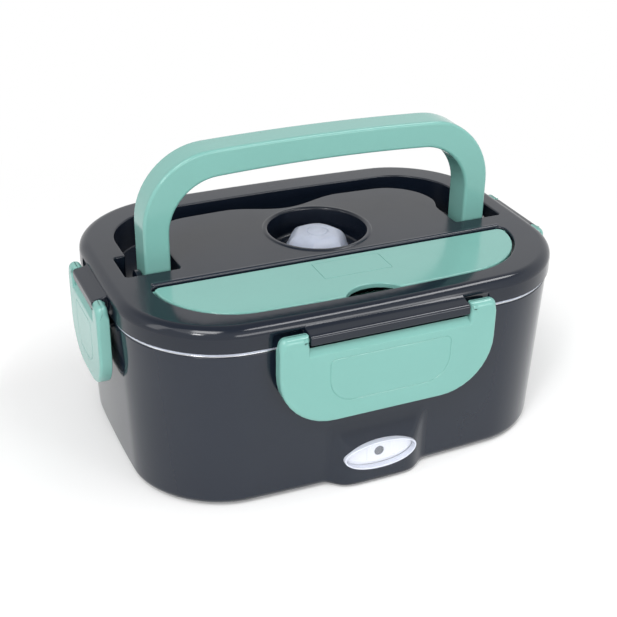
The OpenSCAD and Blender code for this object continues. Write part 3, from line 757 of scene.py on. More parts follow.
SLATE = Moulded("slate_gloss", (26, 33, 45), rough=0.09, smear=0.04, ripple=0.006, ripple_pitch=16,
                grain=0.0003, mottle=0.03, dust=0.03)
SATIN = Moulded("slate_satin", (18, 25, 37), rough=0.23, smear=0.03, ripple=0.003, grain=0.0006,
                grain_pitch=0.35, mottle=0.03, dust=0.0, polish=0.13)
LINER = Moulded("liner", (52, 54, 60), rough=0.32, smear=0.08, grain=0.006)
TEAL = Moulded("teal", (116, 168, 160), rough=0.14, smear=0.04, ripple=0.002, grain=0.0003, grain_pitch=0.4,
               mottle=0.015, dust=0.0)
DISH = Moulded("dish_plastic", (226, 229, 226), rough=0.3, smear=0.08, grain=0.004, mottle=0.02)
# The board, its sleeve and its guide carry a faint painted glow that lightens the shade they stand in behind the lens.
BOARD_PAINTED_GLOW = Moulded("board", (236, 238, 244), rough=0.4, smear=0.05, mottle=0.02, dust=0, glow=0.03)
LENS = Moulded("lens", (232, 236, 247), rough=0.05, smear=0.03, ripple=0.004, mottle=0.01, alpha=0.14, dust=0)
LENS_RIM = Moulded("lens", (222, 226, 238), rough=0.16, smear=0.05, ripple=0.004, mottle=0.02, alpha=0.85,
                   dust=0, tag="rim")
LED = Moulded("led", (14, 16, 11), rough=0.12, smear=0.04, mottle=0.1, dust=0)
BLACK = Moulded("black_plastic", (24, 24, 27), rough=0.35, smear=0.08, grain=0.01)
RED_WIRE = Moulded("red_wire", (176, 34, 28), rough=0.4, grain=0.004)
BLUE_WIRE = Moulded("blue_wire", (34, 64, 150), rough=0.4, grain=0.004)
CERAMIC = Moulded("heater_ceramic", (196, 178, 140), rough=0.6, grain=0.03, mottle=0.1)
STEEL = Metal("steel", (196, 197, 200), rough=0.24)
TRAY_STEEL = Metal("tray_steel", (205, 207, 210), rough=0.2, draw=(0.05, 1.0, 1.0), stain=0.04)
ALUMINIUM = Metal("aluminium", (186, 188, 192), rough=0.38, grain=0.01, stain=0.1)
FOOT_RUBBER = Rubber("black_rubber", (26, 26, 28), rough=0.7, grain=0.03)
SILICONE = Rubber("silicone", (206, 213, 230), rough=0.3, clear=0.25, glow=0.25)


# Shared sizes


@dataclass(frozen=True)
class Datum:
    """Sizes that several pieces share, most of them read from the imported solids."""

    half_w: float
    half_d: float
    flange_top: float
    band_low: float
    skirt_z: float
    lid_top: float
    pivot_y: float
    pivot_z: float
    steel_t: float = 0.8
    corner_r: float = 44.5
    bow_long: float = 4.3
    bow_short: float = 2.9
    flange_inset: float = 1.2
    rim_step: float = 1.0
    taper: float = 3.0
    foot_h: float = 1.2
    foot_edge: float = 3.6

    @classmethod
    def measure(cls) -> "Datum":
        """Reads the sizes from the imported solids."""
        _, tray = span("food_tray")
        seal, _ = span("lid_seal")
        cover_low, cover = span("cutlery_cover")
        handle_low, handle = span("handle")
        pin_low, pin_high = span("handle_pins")
        band = 1.3
        return cls(
            half_w=tray.x + cls.flange_inset, half_d=tray.y + cls.flange_inset, flange_top=tray.z,
            band_low=seal.z, skirt_z=seal.z + band, lid_top=cover.z + 0.3,
            pivot_y=(pin_low.y + pin_high.y) / 2, pivot_z=(pin_low.z + pin_high.z) / 2)

    @property
    def rim_z(self) -> float:
        """Height of the base's rim."""
        return self.flange_top - self.steel_t

    @property
    def foot_z(self) -> float:
        """Height where the rounded foot meets the wall."""
        return self.foot_h + self.foot_edge

    def outline(self, grow: float) -> Path:
        """Returns the lid's outline, grown by a distance."""
        return bowed(self.half_w + grow, self.half_d + grow, self.corner_r + grow, self.bow_long, self.bow_short)

    def wall(self, z: float) -> float:
        """Returns how far the base's wall stands outside the lid's outline at a height."""
        return -self.rim_step - self.taper * (self.rim_z - z) / (self.rim_z - self.foot_z)


DATUM = Datum.measure()


class Side(Enum):
    """The four sides of the box, with the turn from the front."""

    FRONT = 0
    RIGHT = 90
    BACK = 180
    LEFT = -90

    @property
    def edge(self) -> float:
        """Distance from the middle of the box to the lid's edge."""
        return DATUM.half_d if self in (Side.FRONT, Side.BACK) else DATUM.half_w

    @property
    def matrix(self) -> Matrix:
        """Takes x along the side, y up and z outwards to the box's own axes."""
        stand = Matrix(((1, 0, 0, 0), (0, 0, -1, -self.edge), (0, 1, 0, 0), (0, 0, 0, 1)))
        return Matrix.Rotation(math.radians(self.value), 4, "Z") @ stand


def vent_centre() -> tuple[float, float]:
    """Returns the place of the steam vent's axis."""
    low, high = span("vent_valve")
    return (low.x + high.x) / 2, (low.y + high.y) / 2


# Base


@dataclass
class Boss:
    """The rounded swelling at the foot that carries the lens, and at the back the inlet."""

    out: float = 5.6
    front_out: float = 1.0
    half: float = 24.2
    power: float = 4.4
    round_z: float = 46.0
    centre_z: float = 9.0
    top: float = 38.0
    blend: float = 1.6
    fade: float = 3.4
    foot: float = 1.6

    def crown(self, front: bool) -> float:
        """Returns the distance of a boss's crown from the middle plane of the box."""
        return DATUM.half_d - DATUM.rim_step - DATUM.taper + self.out + (self.front_out if front else 0)

    def drop(self, x: float) -> float:
        """Returns how far the boss's face falls back from its crown at a distance along the box."""
        return (self.out + self.front_out) * abs(x / self.half) ** self.power

    def surface(self, x: float, z: float, front: bool) -> float:
        """Returns how far a boss's face stands from the middle plane of the box."""
        height = self.round_z - math.sqrt(self.round_z ** 2 - (z - self.centre_z) ** 2)
        under = max(0.0, self.foot - (z - DATUM.foot_h))
        edge = self.foot - math.sqrt(max(0.0, self.foot ** 2 - under ** 2))
        return self.crown(front) - soft_max(self.drop(x), height, self.blend) - edge

    def swell(self, path: Path, z: float) -> Path:
        """Pushes an outline out to the boss's face, front and back.

        Args:
            path: The wall's outline at this height.
            z: The height.

        Returns:
            The swollen outline.
        """
        if z > self.top:
            return path
        swollen = []
        for p in path:
            y = abs(p.y)
            if abs(p.x) < self.half * 1.4 and y > DATUM.half_d / 2:
                y = soft_max(y, self.surface(p.x, z, p.y < 0), self.fade)
            swollen.append(Vector((p.x, math.copysign(y, p.y), z)))
        return swollen


@dataclass
class BaseShell:
    """The glossy outer shell of the base, with its deck, bosses and catch ribs."""

    boss: Boss
    wall: float = 2.6
    deck_z: float = 26.0
    deck_t: float = 2.0
    plate_gap: float = 0.3
    rim_edge: float = 0.5
    skirt_in: float = 1.6
    window: tuple[float, float] = (19.4, 7.7)
    window_z: float = 16.5
    ring_step: float = 1.6

    def outside(self, z: float, grow: float = 0.0) -> Path:
        """Returns the outer wall's outline at a height."""
        return self.boss.swell(DATUM.outline(DATUM.wall(z) + grow), z)

    def sections(self) -> list[tuple[Path, float]]:
        """Lists the shell's loops from the foot's inner edge, up the outside and down to the deck."""
        foot = [(self.outside(z, DATUM.wall(DATUM.foot_z) - DATUM.wall(z) + grow), z) for grow, z in
                arc((-DATUM.foot_edge, DATUM.foot_z), DATUM.foot_edge, -90, 0, 7)]
        low_top = self.boss.top
        count = int((low_top - DATUM.foot_z) / self.ring_step)
        low = [mix(DATUM.foot_z, low_top, i / count) for i in range(1, count + 1)]
        high = [mix(low_top, DATUM.rim_z - self.rim_edge, i / 6) for i in range(1, 7)]
        wall = [(self.outside(z), z) for z in low + high]
        edge = [(DATUM.outline(-DATUM.rim_step + grow), z) for grow, z in
                arc((-self.rim_edge, DATUM.rim_z - self.rim_edge), self.rim_edge, 30, 90, 3)]
        inner = -DATUM.rim_step - self.wall
        lip = [(DATUM.outline(inner), DATUM.rim_z),
               (DATUM.outline(DATUM.wall(self.deck_z) - self.wall), self.deck_z + 1.5),
               (DATUM.outline(DATUM.wall(self.deck_z) - self.wall - 1.5), self.deck_z)]
        return foot + wall + edge + lip

    def hollow(self) -> list[tuple[Path, float]]:
        """Lists the loops of the heater space under the deck, from the foot upwards."""
        inset = DATUM.wall(DATUM.foot_z) - self.wall - self.skirt_in
        return [(DATUM.outline(inset), DATUM.foot_h), (DATUM.outline(inset), DATUM.foot_z),
                (DATUM.outline(DATUM.wall(self.deck_z) - self.wall), self.deck_z - self.deck_t)]

    def build(self) -> None:
        """Makes the shell and its catch ribs."""
        mould = Mould()
        outer = mould.loft(self.sections())
        inner = mould.loft(self.hollow())
        hole = self.plate_hole()
        rings = mould.loft([(hole, self.deck_z), (hole, self.deck_z - self.deck_t)])
        mould.fill(outer[1], rings[0])
        mould.fill(inner[1], rings[1])
        mould.skin([outer[0], inner[0]])
        window = Mould()
        window.prism(circle(self.window[0], (0, self.window_z), 120, self.window[1] / self.window[0]), -20, 10, 0.01)
        window.place(Side.FRONT.matrix)
        mould.combine(window, Combine.CUT)
        socket = Mould()
        low, high = span("power_inlet")
        a, b = (high.x - low.x) / 2 + 0.1, (high.z - low.z) / 2 + 0.1
        middle = (high.z + low.z) / 2
        socket.prism(rounded([(a, middle + b, b), (-a, middle + b, b), (-a, middle - b, b), (a, middle - b, b)], 14),
                     -22, 10, 0.01)
        socket.place(Side.BACK.matrix)
        mould.combine(socket, Combine.CUT)
        for side, half in ((Side.FRONT, 34.8), (Side.BACK, 34.8), (Side.LEFT, 17.5), (Side.RIGHT, 17.5)):
            rib = Mould()
            rib.prism(rounded([(half, DATUM.rim_z - 5, 0.5), (-half, DATUM.rim_z - 5, 0.5),
                               (-half, DATUM.rim_z - 7, 0.5), (half, DATUM.rim_z - 7, 0.5)], 3), -3, 0.95, 0.4)
            mould.add(rib.place(side.matrix))
        mould.cast("outer_shell", SLATE, "base", "body_shell")

    def plate_hole(self) -> Path:
        """Returns the outline of the hole round the heating plate."""
        a, b, r = 69.0 + self.plate_gap, 42.0 + self.plate_gap, 20.0
        return rounded([(a, b, r), (-a, b, r), (-a, -b, r), (a, -b, r)], 8, 6)


@dataclass
class Indicator:
    """The clear lens at the front boss, with the board behind it, which carries a faint painted glow."""

    boss: Boss
    centre_z: float = 16.5
    proud: float = 0.3
    follow: float = 0.5
    thick: float = 3.2
    rim: float = 0.95
    panel: tuple[float, float] = (6.7, 5.6)
    lamp_r: float = 2.2
    sleeve: float = 0.8

    def ellipse(self, inset: float, a: float, b: float) -> Path:
        """Returns the lens's plan, drawn in by a distance."""
        return circle(a - inset, (0, self.centre_z), 96, (b - inset) / (a - inset))

    def build(self) -> None:
        """Makes the lens, its frosted rim, the board and the lamp."""
        low, high = span("indicator_lens")
        a, b = (high.x - low.x) / 2, (high.z - low.z) / 2
        front = self.boss.crown(True) + self.proud - DATUM.half_d
        back = front - self.thick

        def plan(grow: float) -> Path:
            """Returns the lens's plan, grown by a distance."""
            return self.ellipse(-grow, a, b)

        lens = Mould()
        lens.fill_ends(lens.sweep(plan, [
            (-self.rim, back + 0.2), (-self.rim, front - 0.4), (-self.rim - 0.25, front - 0.12),
            (-self.rim - 1.2, front - 0.05), (-3.5, front), (-5.5, front + 0.02)]))
        self.bend(lens)
        lens.place(Side.FRONT.matrix).cast("lens_cover", LENS, "base", "indicator_lens")
        rim = Mould()
        edge = ([(-self.rim + 0.02, back), (0, back), (0, front - 0.35)]
                + arc((-0.35, front - 0.35), 0.35, 20, 90, 4)
                + arc((-self.rim + 0.35, front - 0.3), 0.3, 90, 180, 3))
        rim.tube((plan(grow), z) for grow, z in edge)
        self.bend(rim)
        rim.place(Side.FRONT.matrix).cast("lens_rim", LENS_RIM, "base")
        self.lamp(back, a, b)

    def bend(self, mould: Mould) -> None:
        """Bends a mesh that stands at the front so that it follows the boss's face."""
        for vert in mould.mesh.verts:
            vert.co.z -= self.follow * self.boss.drop(vert.co.x)

    def lamp(self, lens_back: float, a: float, b: float) -> None:
        """Makes the board with its white sleeve and panel, and the lamp in the panel.

        Args:
            lens_back: Where the lens ends.
            a: Half width of the lens.
            b: Half height of the lens.
        """
        low, high = span("led_board")
        face = -low.y - DATUM.half_d
        board = Mould()
        inset = a - (high.x - low.x) / 2
        board.prism(self.ellipse(inset, a, b), -high.y - DATUM.half_d, face, 0.2)
        guide = Mould()
        guide.prism(self.ellipse(self.rim - 0.2, a, b), lens_back - 1.8, lens_back - 0.5, 0.1)
        socket = Mould()
        socket.prism(circle(self.lamp_r + 0.35, (0, self.centre_z), 40), lens_back - 3, lens_back + 1, 0.01)
        guide.combine(socket, Combine.CUT)
        self.bend(guide)
        board.add(guide)
        sleeve = Mould()
        sleeve.tube((self.ellipse(inset + grow, a, b), z) for grow, z in [
            (-0.3, face), (-0.3, lens_back - 0.1), (self.sleeve, lens_back - 0.1), (self.sleeve, face)])
        self.bend(sleeve)
        board.add(sleeve)
        x, z = self.panel
        hole = circle(self.lamp_r + 0.35, (0, self.centre_z), 40)
        box = rounded([(x, self.centre_z + z, 0.8), (-x, self.centre_z + z, 0.8), (-x, self.centre_z - z, 0.8),
                       (x, self.centre_z - z, 0.8)], 4, 2)
        top = lens_back - 0.3
        outer = board.loft([(box, face - 0.2), (box, top - 0.2), (offset(box, -0.2), top)])
        inner = board.loft([(hole, face - 0.2), (hole, top - 0.15), (offset(hole, 0.15), top)])
        board.fill(outer[0], inner[0])
        board.fill(outer[1], inner[1])
        # The board's finish carries a faint painted glow.
        board.place(Side.FRONT.matrix).cast("lamp_board", BOARD_PAINTED_GLOW, "base", "led_board")
        lamp = Mould()
        r = self.lamp_r
        dome = arc((0, top - 1.5), r - 0.35, 0, 80, 8)
        lamp.fill_ends(lamp.sweep(lambda grow: circle(grow, (0, self.centre_z), 40),
                                  [(r + 0.3, face), (r + 0.3, top - 0.2), (r + 0.1, top), (r - 0.1, top - 0.1),
                                   (r - 0.3, top - 1.5)] + dome[1:]))
        lamp.place(Side.FRONT.matrix).cast("lamp_bulb", LED, "base", "indicator_led")


# Tray and dish


@dataclass
class FoodTray:
    """The lift-out steel tray with its flat flange."""

    inset: float = 5.5
    lean: float = 6.0
    edge: float = 5.0
    lip: float = 1.4

    def side(self, z: float, low: float) -> float:
        """Returns the wall's offset from the lid's outline at a height."""
        return -self.inset - self.lean * (DATUM.flange_top - z) / (DATUM.flange_top - low)

    def build(self) -> None:
        """Makes the tray as one closed sheet with a rolled edge."""
        low, high = span("food_tray")
        t = DATUM.steel_t
        foot = self.side(low.z + self.edge, low.z)
        under = [(g, z) for g, z in arc((foot - self.edge, low.z + self.edge), self.edge, -90, 0)]
        flange = (arc((-self.inset + 0.6, high.z - t - 0.6), 0.6, 180, 90, 3)
                  + arc((-DATUM.flange_inset - t / 2, high.z - t / 2), t / 2, -90, 90, 6))
        roll = arc((-self.inset - t + self.lip, high.z - self.lip), self.lip, 90, 180, 5)
        inside = [(g, z) for g, z in arc((foot - self.edge, low.z + self.edge), self.edge - t, 0, -90)]
        mould = Mould()
        mould.fill_ends(mould.sweep(DATUM.outline, under + flange + roll + inside))
        mould.cast("steel_tray", TRAY_STEEL, "tray", "food_tray")


@dataclass
class SideDish:
    """The plastic dish that stands in the tray, with its snap lid."""

    radius: float = 20.0
    wall: float = 1.4
    lean: float = 1.5

    def outline(self, node: str, radius: float) -> Callable[[float], Path]:
        """Returns a function that gives a solid's rounded plan, grown by a distance."""
        low, high = span(node)
        x, a, b = (low.x + high.x) / 2, (high.x - low.x) / 2, (high.y - low.y) / 2

        def grown(grow: float) -> Path:
            """Returns the plan grown by a distance."""
            return rounded([(x + a + grow, b + grow, radius + grow), (x - a - grow, b + grow, radius + grow),
                            (x - a - grow, -b - grow, radius + grow), (x + a + grow, -b - grow, radius + grow)],
                           14, 6)
        return grown

    def build(self) -> None:
        """Makes the dish, its seal and its lid."""
        low, high = span("side_dish")
        dish = Mould()
        rim = arc((-0.7, high.z - 0.7), 0.7, 0, 90, 4)
        outside = (arc((-6.4, low.z + 3), 3, -90, -6, 6) + [(-1.5, high.z - 2.9)]
                   + [(-1.5, high.z - 2.4), (-0.3, high.z - 2.4), (0, high.z - 2.1)])
        inside = [(-2.6, high.z), (-2.9, high.z - 0.4), (-4.9, low.z + 4)] + arc((-7.9, low.z + 4.4), 3, 0, -90, 6)
        dish.fill_ends(dish.sweep(self.outline("side_dish", self.radius), outside + rim + inside))
        dish.cast("dish_tub", DISH, "side_dish", "side_dish")
        low, high = span("side_dish_seal")
        seal = Mould()
        plan = self.outline("side_dish_seal", self.radius - 0.6)
        section = arc((-1.2, (low.z + high.z) / 2), (high.z - low.z) / 2 - 0.01, 0, 330, 11)
        seal.tube((plan(grow), z) for grow, z in section)
        seal.cast("dish_seal", SILICONE, "side_dish_lid", "side_dish_seal")
        low, high = span("side_dish_lid")
        lid = Mould()
        top = ([(-1.2, high.z - 1.6), (-1.2, low.z + 0.2), (-1.0, low.z), (-0.2, low.z), (0, low.z + 0.2)]
               + arc((-1.4, high.z - 1.4), 1.4, 0, 90, 6)
               + [(-4.5, high.z), (-5.3, high.z - 0.6), (-6.5, high.z - 0.6)])
        lid.fill_ends(lid.sweep(self.outline("side_dish_lid", self.radius + 1.5), top))
        lid.cast("dish_lid", TEAL, "side_dish_lid", "side_dish_lid")


# Lid


@dataclass
class CoverPlan:
    """The D-shaped plan shared by the cutlery cover and the well under it."""

    a: float
    front: float
    back: float
    radius: float = 33.0
    back_radius: float = 3.2

    def outline(self, grow: float, back: float | None = None) -> Path:
        """Returns the plan.

        Args:
            grow: How far its front and ends move outwards.
            back: How far its back edge moves, if not as far.
        """
        aa = self.a + grow - DATUM.bow_short
        bb = self.front + grow - DATUM.bow_long
        edge = self.back - (grow if back is None else back)
        near, far = self.back_radius + max(grow, 0), self.radius + grow
        path = rounded([(aa, -edge, near), (-aa, -edge, near), (-aa, -bb, far), (aa, -bb, far)], 12, 3)
        for p in path:
            x, y = p.x, p.y
            p.x += math.copysign(DATUM.bow_short * (1 - (y / bb) ** 2) * abs(x) / aa, x)
            p.y -= DATUM.bow_long * (1 - (x / aa) ** 2) * max(0.0, (-y - edge) / (bb - edge))
        return path


@dataclass
class LidShell:
    """The lid: a flat-topped shell with the handle's channel, the cutlery well and the vent well."""

    cover: CoverPlan
    leg_out: float
    leg_in: float
    grip_inside: float
    skin: float = 2.4
    edge: float = 5.0
    lip: float = 0.8
    well_wall: float = 1.6
    channel_floor: float = 80.45
    pocket: tuple[float, float, float, float] = (74.7, 101.5, -11.0, 11.5)
    channel_a: float = 96.1
    channel_y: float = 62.2
    channel_r: float = 30.0
    plateau_r: float = 23.4
    finger: tuple[float, float] = (66.0, 8.5)
    vent_r: float = 25.2
    vent_depth: float = 13.6
    ledge: tuple[float, float] = (93.35, 1.8)
    cutlery_floor: float = 83.95
    cover_gap: float = 1.1

    def channel(self) -> Path:
        """Returns the outline of the channel that takes the folded handle, with the pivot pockets."""
        x0, x1, y0, y1 = self.pocket
        out_x, out_y = self.channel_a - 0.8, self.channel_y - 3.5
        in_x, in_y = self.leg_in - 1.0, self.grip_inside - 3.2
        half = [(in_x, in_y, self.plateau_r), (in_x, y1 + 5, 5), (x0, y1 - 1, 5), (x0, y0, 1.6), (x1, y0, 1.6),
                (x1, y1, 1.6), (out_x, y1, 1.6), (out_x, out_y, self.channel_r)]
        corners = half + [(-x, y, r) for x, y, r in reversed(half)]
        path = rounded(corners, 14, 2.5)
        for p in path:
            far = min(1.0, max(0.0, (p.y - in_y) / (out_y - in_y)))
            rise = min(1.0, max(0.0, (p.y - y1) / (in_y - y1)))
            half_width = mix(in_x, out_x, far)
            share = max(0.0, 1 - (p.x / half_width) ** 2)
            inner = p.y < in_y + 2
            p.y += mix(3.2, 3.5, far) * share * rise
            u = min(1.0, abs(p.x) / (self.finger[0] / 2))
            if inner and p.y > y1 + 8:
                p.y -= self.finger[1] * math.cos(math.pi / 2 * u) ** 2
        return path

    def build(self) -> None:
        """Makes the lid shell with everything sunk in it or standing on it."""
        top, ceiling = DATUM.lid_top, DATUM.lid_top - self.skin
        mould = Mould()
        wall = ([(-self.skin, ceiling), (-self.skin, DATUM.skirt_z), (-0.4, DATUM.skirt_z), (-0.1, DATUM.skirt_z + 0.1),
                 (0, DATUM.skirt_z + 0.4)]
                + arc((-self.edge, top - self.edge), self.edge, 0, 90, 12))
        under, rim = mould.sweep(DATUM.outline, wall)
        channel = self.channel()

        def grown(grow: float) -> Path:
            """Returns the channel's outline, grown by a distance."""
            return offset(channel, grow)

        channel_top, channel_low = mould.sweep(grown, (
            arc((self.lip, top - self.lip), self.lip, 90, 180, 5)
            + arc((-1.0, self.channel_floor + 1.0), 1.0, 0, -90, 4)))
        mould.fill(channel_low)
        channel_out, channel_base = mould.sweep(grown, [
            (self.well_wall, ceiling), (self.well_wall, self.channel_floor - self.well_wall)])
        mould.fill(channel_base)
        well_top, well_low = mould.loft(self.cutlery_well())
        mould.fill(well_low)
        plan = self.cover.outline(self.cover_gap + self.well_wall)
        well_out, well_base = mould.loft([(plan, ceiling), (plan, self.cutlery_floor - self.well_wall)])
        mould.fill(well_base)
        vent_top, vent_out = self.vent_well(mould)
        mould.fill(rim, channel_top, well_top, vent_top)
        mould.fill(under, channel_out, well_out, vent_out)
        self.scoop(mould)
        self.bars(mould)
        self.cheeks(mould)
        mould.cast("lid_top", SATIN, "lid", "lid_shell")
        self.rib()

    def cutlery_well(self) -> list[tuple[Path, float]]:
        """Lists the loops of the cutlery well from its lip down past the ledge to its floor."""
        gap, top = self.cover_gap, DATUM.lid_top
        ledge_z, ledge_w = self.ledge
        lip = [(self.cover.outline(gap + grow), z) for grow, z in arc((self.lip, top - self.lip), self.lip, 90, 180, 5)]
        low = gap - ledge_w
        return lip + [
            (self.cover.outline(gap), ledge_z), (self.cover.outline(low, gap), ledge_z - 0.01),
            (self.cover.outline(low, gap), self.cutlery_floor + 1),
            (self.cover.outline(low - 0.3, gap - 0.3), self.cutlery_floor + 0.3),
            (self.cover.outline(low - 1, gap - 1), self.cutlery_floor)]

    def vent_well(self, mould: Mould) -> tuple[Ring, Ring]:
        """Adds the vent well with its raised lip and the valve's seat.

        Args:
            mould: The lid's mesh.

        Returns:
            The well's loops in the lid's top and in its ceiling.
        """
        centre, r = vent_centre(), self.vent_r
        top, floor = DATUM.lid_top, DATUM.lid_top - self.vent_depth
        profile = ([(r + 3.1, top), (r + 2.85, top + 0.12), (r + 2.6, top + 0.42), (r + 2.2, top + 0.58),
                    (r + 1.4, top + 0.6), (r + 0.8, top + 0.5), (r + 0.3, top + 0.1), (r, top - 0.8)]
                   + arc((r - 2, floor + 2), 2, 0, -90, 5)
                   + [(21.1, floor), (20.8, floor + 0.3), (20.8, floor + 2.1), (20.5, floor + 2.4),
                      (18.2, floor + 2.4), (17.9, floor + 2.1), (17.9, floor), (3.3, floor),
                      (3.2, floor - 0.1), (3.2, floor - self.well_wall), (r + self.well_wall, floor - self.well_wall),
                      (r + self.well_wall, top - self.skin)])
        return mould.sweep(lambda radius: circle(radius, centre), profile)

    def scoop(self, mould: Mould) -> None:
        """Cuts the scoops that let the latches' ears turn."""
        for side, half, ear in ((Side.FRONT, 54.8, 14.2), (Side.BACK, 54.8, 14.2), (Side.LEFT, 27.5, 9.2),
                                (Side.RIGHT, 27.5, 9.2)):
            for sign in (-1, 1):
                cutter = Mould()
                near, far = half - ear - 0.3, half + 0.6
                cutter.rod(5.7, near if sign > 0 else -far, far if sign > 0 else -near, 0, 0, 64, 1.4)
                cutter.place(side.matrix @ Matrix.Translation((0, DATUM.skirt_z + 3.8, 3.9)))
                mould.combine(cutter, Combine.CUT)

    def rib(self) -> None:
        """Makes the glossy rounded rib behind the cutlery cover."""
        a, y, top = self.cover.a - 0.6, -self.cover.back + self.cover_gap, DATUM.lid_top
        wide, rise = 3.0, 0.85
        path = rounded([(a, y + wide, 1.45), (-a, y + wide, 1.45), (-a, y, 1.45), (a, y, 1.45)], 6)
        turn = [math.radians(15 * i) for i in range(7)]
        profile = [(0, top - 0.8), (0, top - 0.1)] + [
            (1.35 * (math.cos(t) - 1), top - 0.1 + (rise + 0.1) * math.sin(t)) for t in turn[1:]]
        rib = Mould()
        rib.fill_ends(rib.sweep(lambda grow: offset(path, grow), profile))
        rib.cast("cover_rib", SLATE, "lid")

    def bars(self, mould: Mould) -> None:
        """Adds the four bars that the latches hinge on."""
        z = DATUM.skirt_z + 3.8
        top = DATUM.lid_top - self.edge + 0.6
        for side, half in ((Side.FRONT, 40.6), (Side.BACK, 40.6), (Side.LEFT, 18.3), (Side.RIGHT, 18.3)):
            bar = Mould()
            section = rounded([(-2, z - 2, 0), (7.0, z - 2, 0.5), (7.0, z + 1.7, 0.45), (6.35, z + 2.75, 0.9),
                               (0.4, top - 0.2, 1.6), (-0.6, top + 0.8, 0.4), (-2, top + 0.6, 0)], 5)
            bar.prism(section, 0.3 - half, half - 0.3, 0.6, 4)
            turn = Matrix(((0, 0, 1, 0), (0, 1, 0, 0), (1, 0, 0, 0), (0, 0, 0, 1)))
            mould.add(bar.place(side.matrix @ turn))

    def cheeks(self, mould: Mould) -> None:
        """Adds the cheeks that carry the handle's pins."""
        r, low = 5.5, self.channel_floor - 0.5 - DATUM.pivot_z
        path = rounded([(r, low, 0.2), (r, r, r - 0.02), (-r, r, r - 0.02), (-r, low, 0.2)], 10)
        for sign in (-1, 1):
            cheek = Mould()
            cheek.prism(path, 0, 2.6, 0.3)
            stand = Matrix(((0, 0, sign, sign * (self.leg_out + 0.6)), (1, 0, 0, DATUM.pivot_y),
                            (0, 1, 0, DATUM.pivot_z), (0, 0, 0, 1)))
            mould.add(cheek.place(stand))


@dataclass
class LidUnderside:
    """The liner under the lid and the silicone seal round it."""

    inset: float = 7.6

    def build(self) -> None:
        """Makes the liner and the seal."""
        low, high = span("lid_liner")
        liner = Mould()
        sides = [(-self.inset - 1.4, high.z), (-self.inset, high.z)] + arc((-self.inset - 2.4, low.z + 2.4), 2.4, 0, -90, 6)
        shelf = sides + [(-self.inset - 5, low.z), (-self.inset - 5.6, low.z + 0.5), (-self.inset - 7, low.z + 0.5)]
        top, floor = liner.sweep(DATUM.outline, shelf)
        hole_low, hole_high = liner.sweep(lambda r: circle(r, vent_centre(), 40),
                                          [(4.4, low.z + 0.5), (3.8, low.z + 1), (3.8, low.z + 1.6)])
        liner.fill(floor, hole_low)
        inner = liner.sweep(DATUM.outline, [(-self.inset - 1.4, low.z + 3), (-self.inset - 3, low.z + 1.6)])
        liner.skin([top, inner[0]])
        liner.fill(inner[1], hole_high)
        liner.cast("liner_pan", LINER, "lid", "lid_liner")
        seal = Mould()
        out, inside, skin = -DATUM.flange_inset + 0.6, -self.inset + 0.15, -2.5
        z0, z1, z2 = DATUM.band_low, DATUM.skirt_z, span("lid_seal")[1].z
        profile = ([(inside, z2), (inside, z0 + 0.3), (inside - 0.0, z0 + 0.1), (-4.6, z0 + 0.1), (-4.3, z0), (-3.1, z0),
                    (-2.8, z0 + 0.1), (out - 0.5, z0 + 0.1)]
                   + arc((out - 0.35, z0 + 0.45), 0.35, -90, 0, 3) + arc((out - 0.35, z1 - 0.35), 0.35, 0, 90, 3)
                   + [(skin, z1), (skin, z2)])
        seal.tube((DATUM.outline(grow), z) for grow, z in profile)
        seal.cast("seal_band", SILICONE, "lid", "lid_seal")


@dataclass
class Handle:
    """The folding bail: a bowed grip on two straight legs, with bevelled edges."""

    width: float = 12.6
    grip_h: float = 13.0
    out_r: float = 33.5
    in_r: float = 24.4
    bow: float = 3.2
    bevel: float = 1.5
    front: float = 7.0
    steps: int = 16

    def arch(self, a: float, top: float, radius: float, low: float) -> Path:
        """Lists points up one leg, over the grip and down the other, x across and y up."""
        crown = top - self.bow
        turn = [math.radians(90 * i / self.steps) for i in range(self.steps + 1)]
        right = [(a - radius + radius * math.cos(t), crown - radius + radius * math.sin(t)) for t in turn]
        half = [(a, mix(low, crown - radius, i / 4)) for i in range(4)] + right
        flat = [((a - radius) * (1 - 2 * i / 24), crown) for i in range(1, 24)]
        path = half + flat + [(-x, y) for x, y in reversed(half)]
        return [Vector((x, y + self.bow * (1 - (x / a) ** 2) * max(0, (y - low) / (crown - low)), 0)) for x, y in path]

    def section(self, inner: Vector, outer: Vector, front: float, back: float) -> Path:
        """Returns one loop of the bail between its inner and outer lines, and between two planes."""
        wide = (outer - inner).length
        along = (outer - inner) / wide
        deep = back - front
        r = min(self.bevel, deep / 3)
        loop = rounded([(0, 0, r), (wide, 0, r), (wide, deep, r), (0, deep, r)], 5, 20)
        return [Vector((inner.x + along.x * p.x, front + p.y, inner.y + along.y * p.x)) for p in loop]

    def build(self) -> None:
        """Makes the bail as one smooth loft from pivot to pivot."""
        low, high = span("handle")
        back, z = high.y - DATUM.pivot_y, DATUM.pivot_z
        inner = self.arch(high.x - self.width, high.z - self.grip_h, self.in_r, z)
        outer = self.arch(high.x, high.z, self.out_r, z)
        loops = [self.section(i, o, DATUM.pivot_y - self.front, DATUM.pivot_y + back) for i, o in zip(inner, outer)]
        ends = []
        for angle in range(10, 81, 10):
            t = math.radians(angle)
            drop = self.front * math.sin(t)
            down = Vector((0, -drop, 0))
            reach = math.sqrt(back ** 2 - drop ** 2)
            ends.append([self.section(i + down, o + down, DATUM.pivot_y - self.front * math.cos(t),
                                      DATUM.pivot_y + reach) for i, o in ((inner[0], outer[0]), (inner[-1], outer[-1]))])
        mould = Mould()
        order = [pair[0] for pair in reversed(ends)] + loops + [pair[1] for pair in ends]
        mould.fill_ends(mould.loft((loop, None) for loop in order))
        mould.cast("carry_handle", TEAL, "handle", "handle")


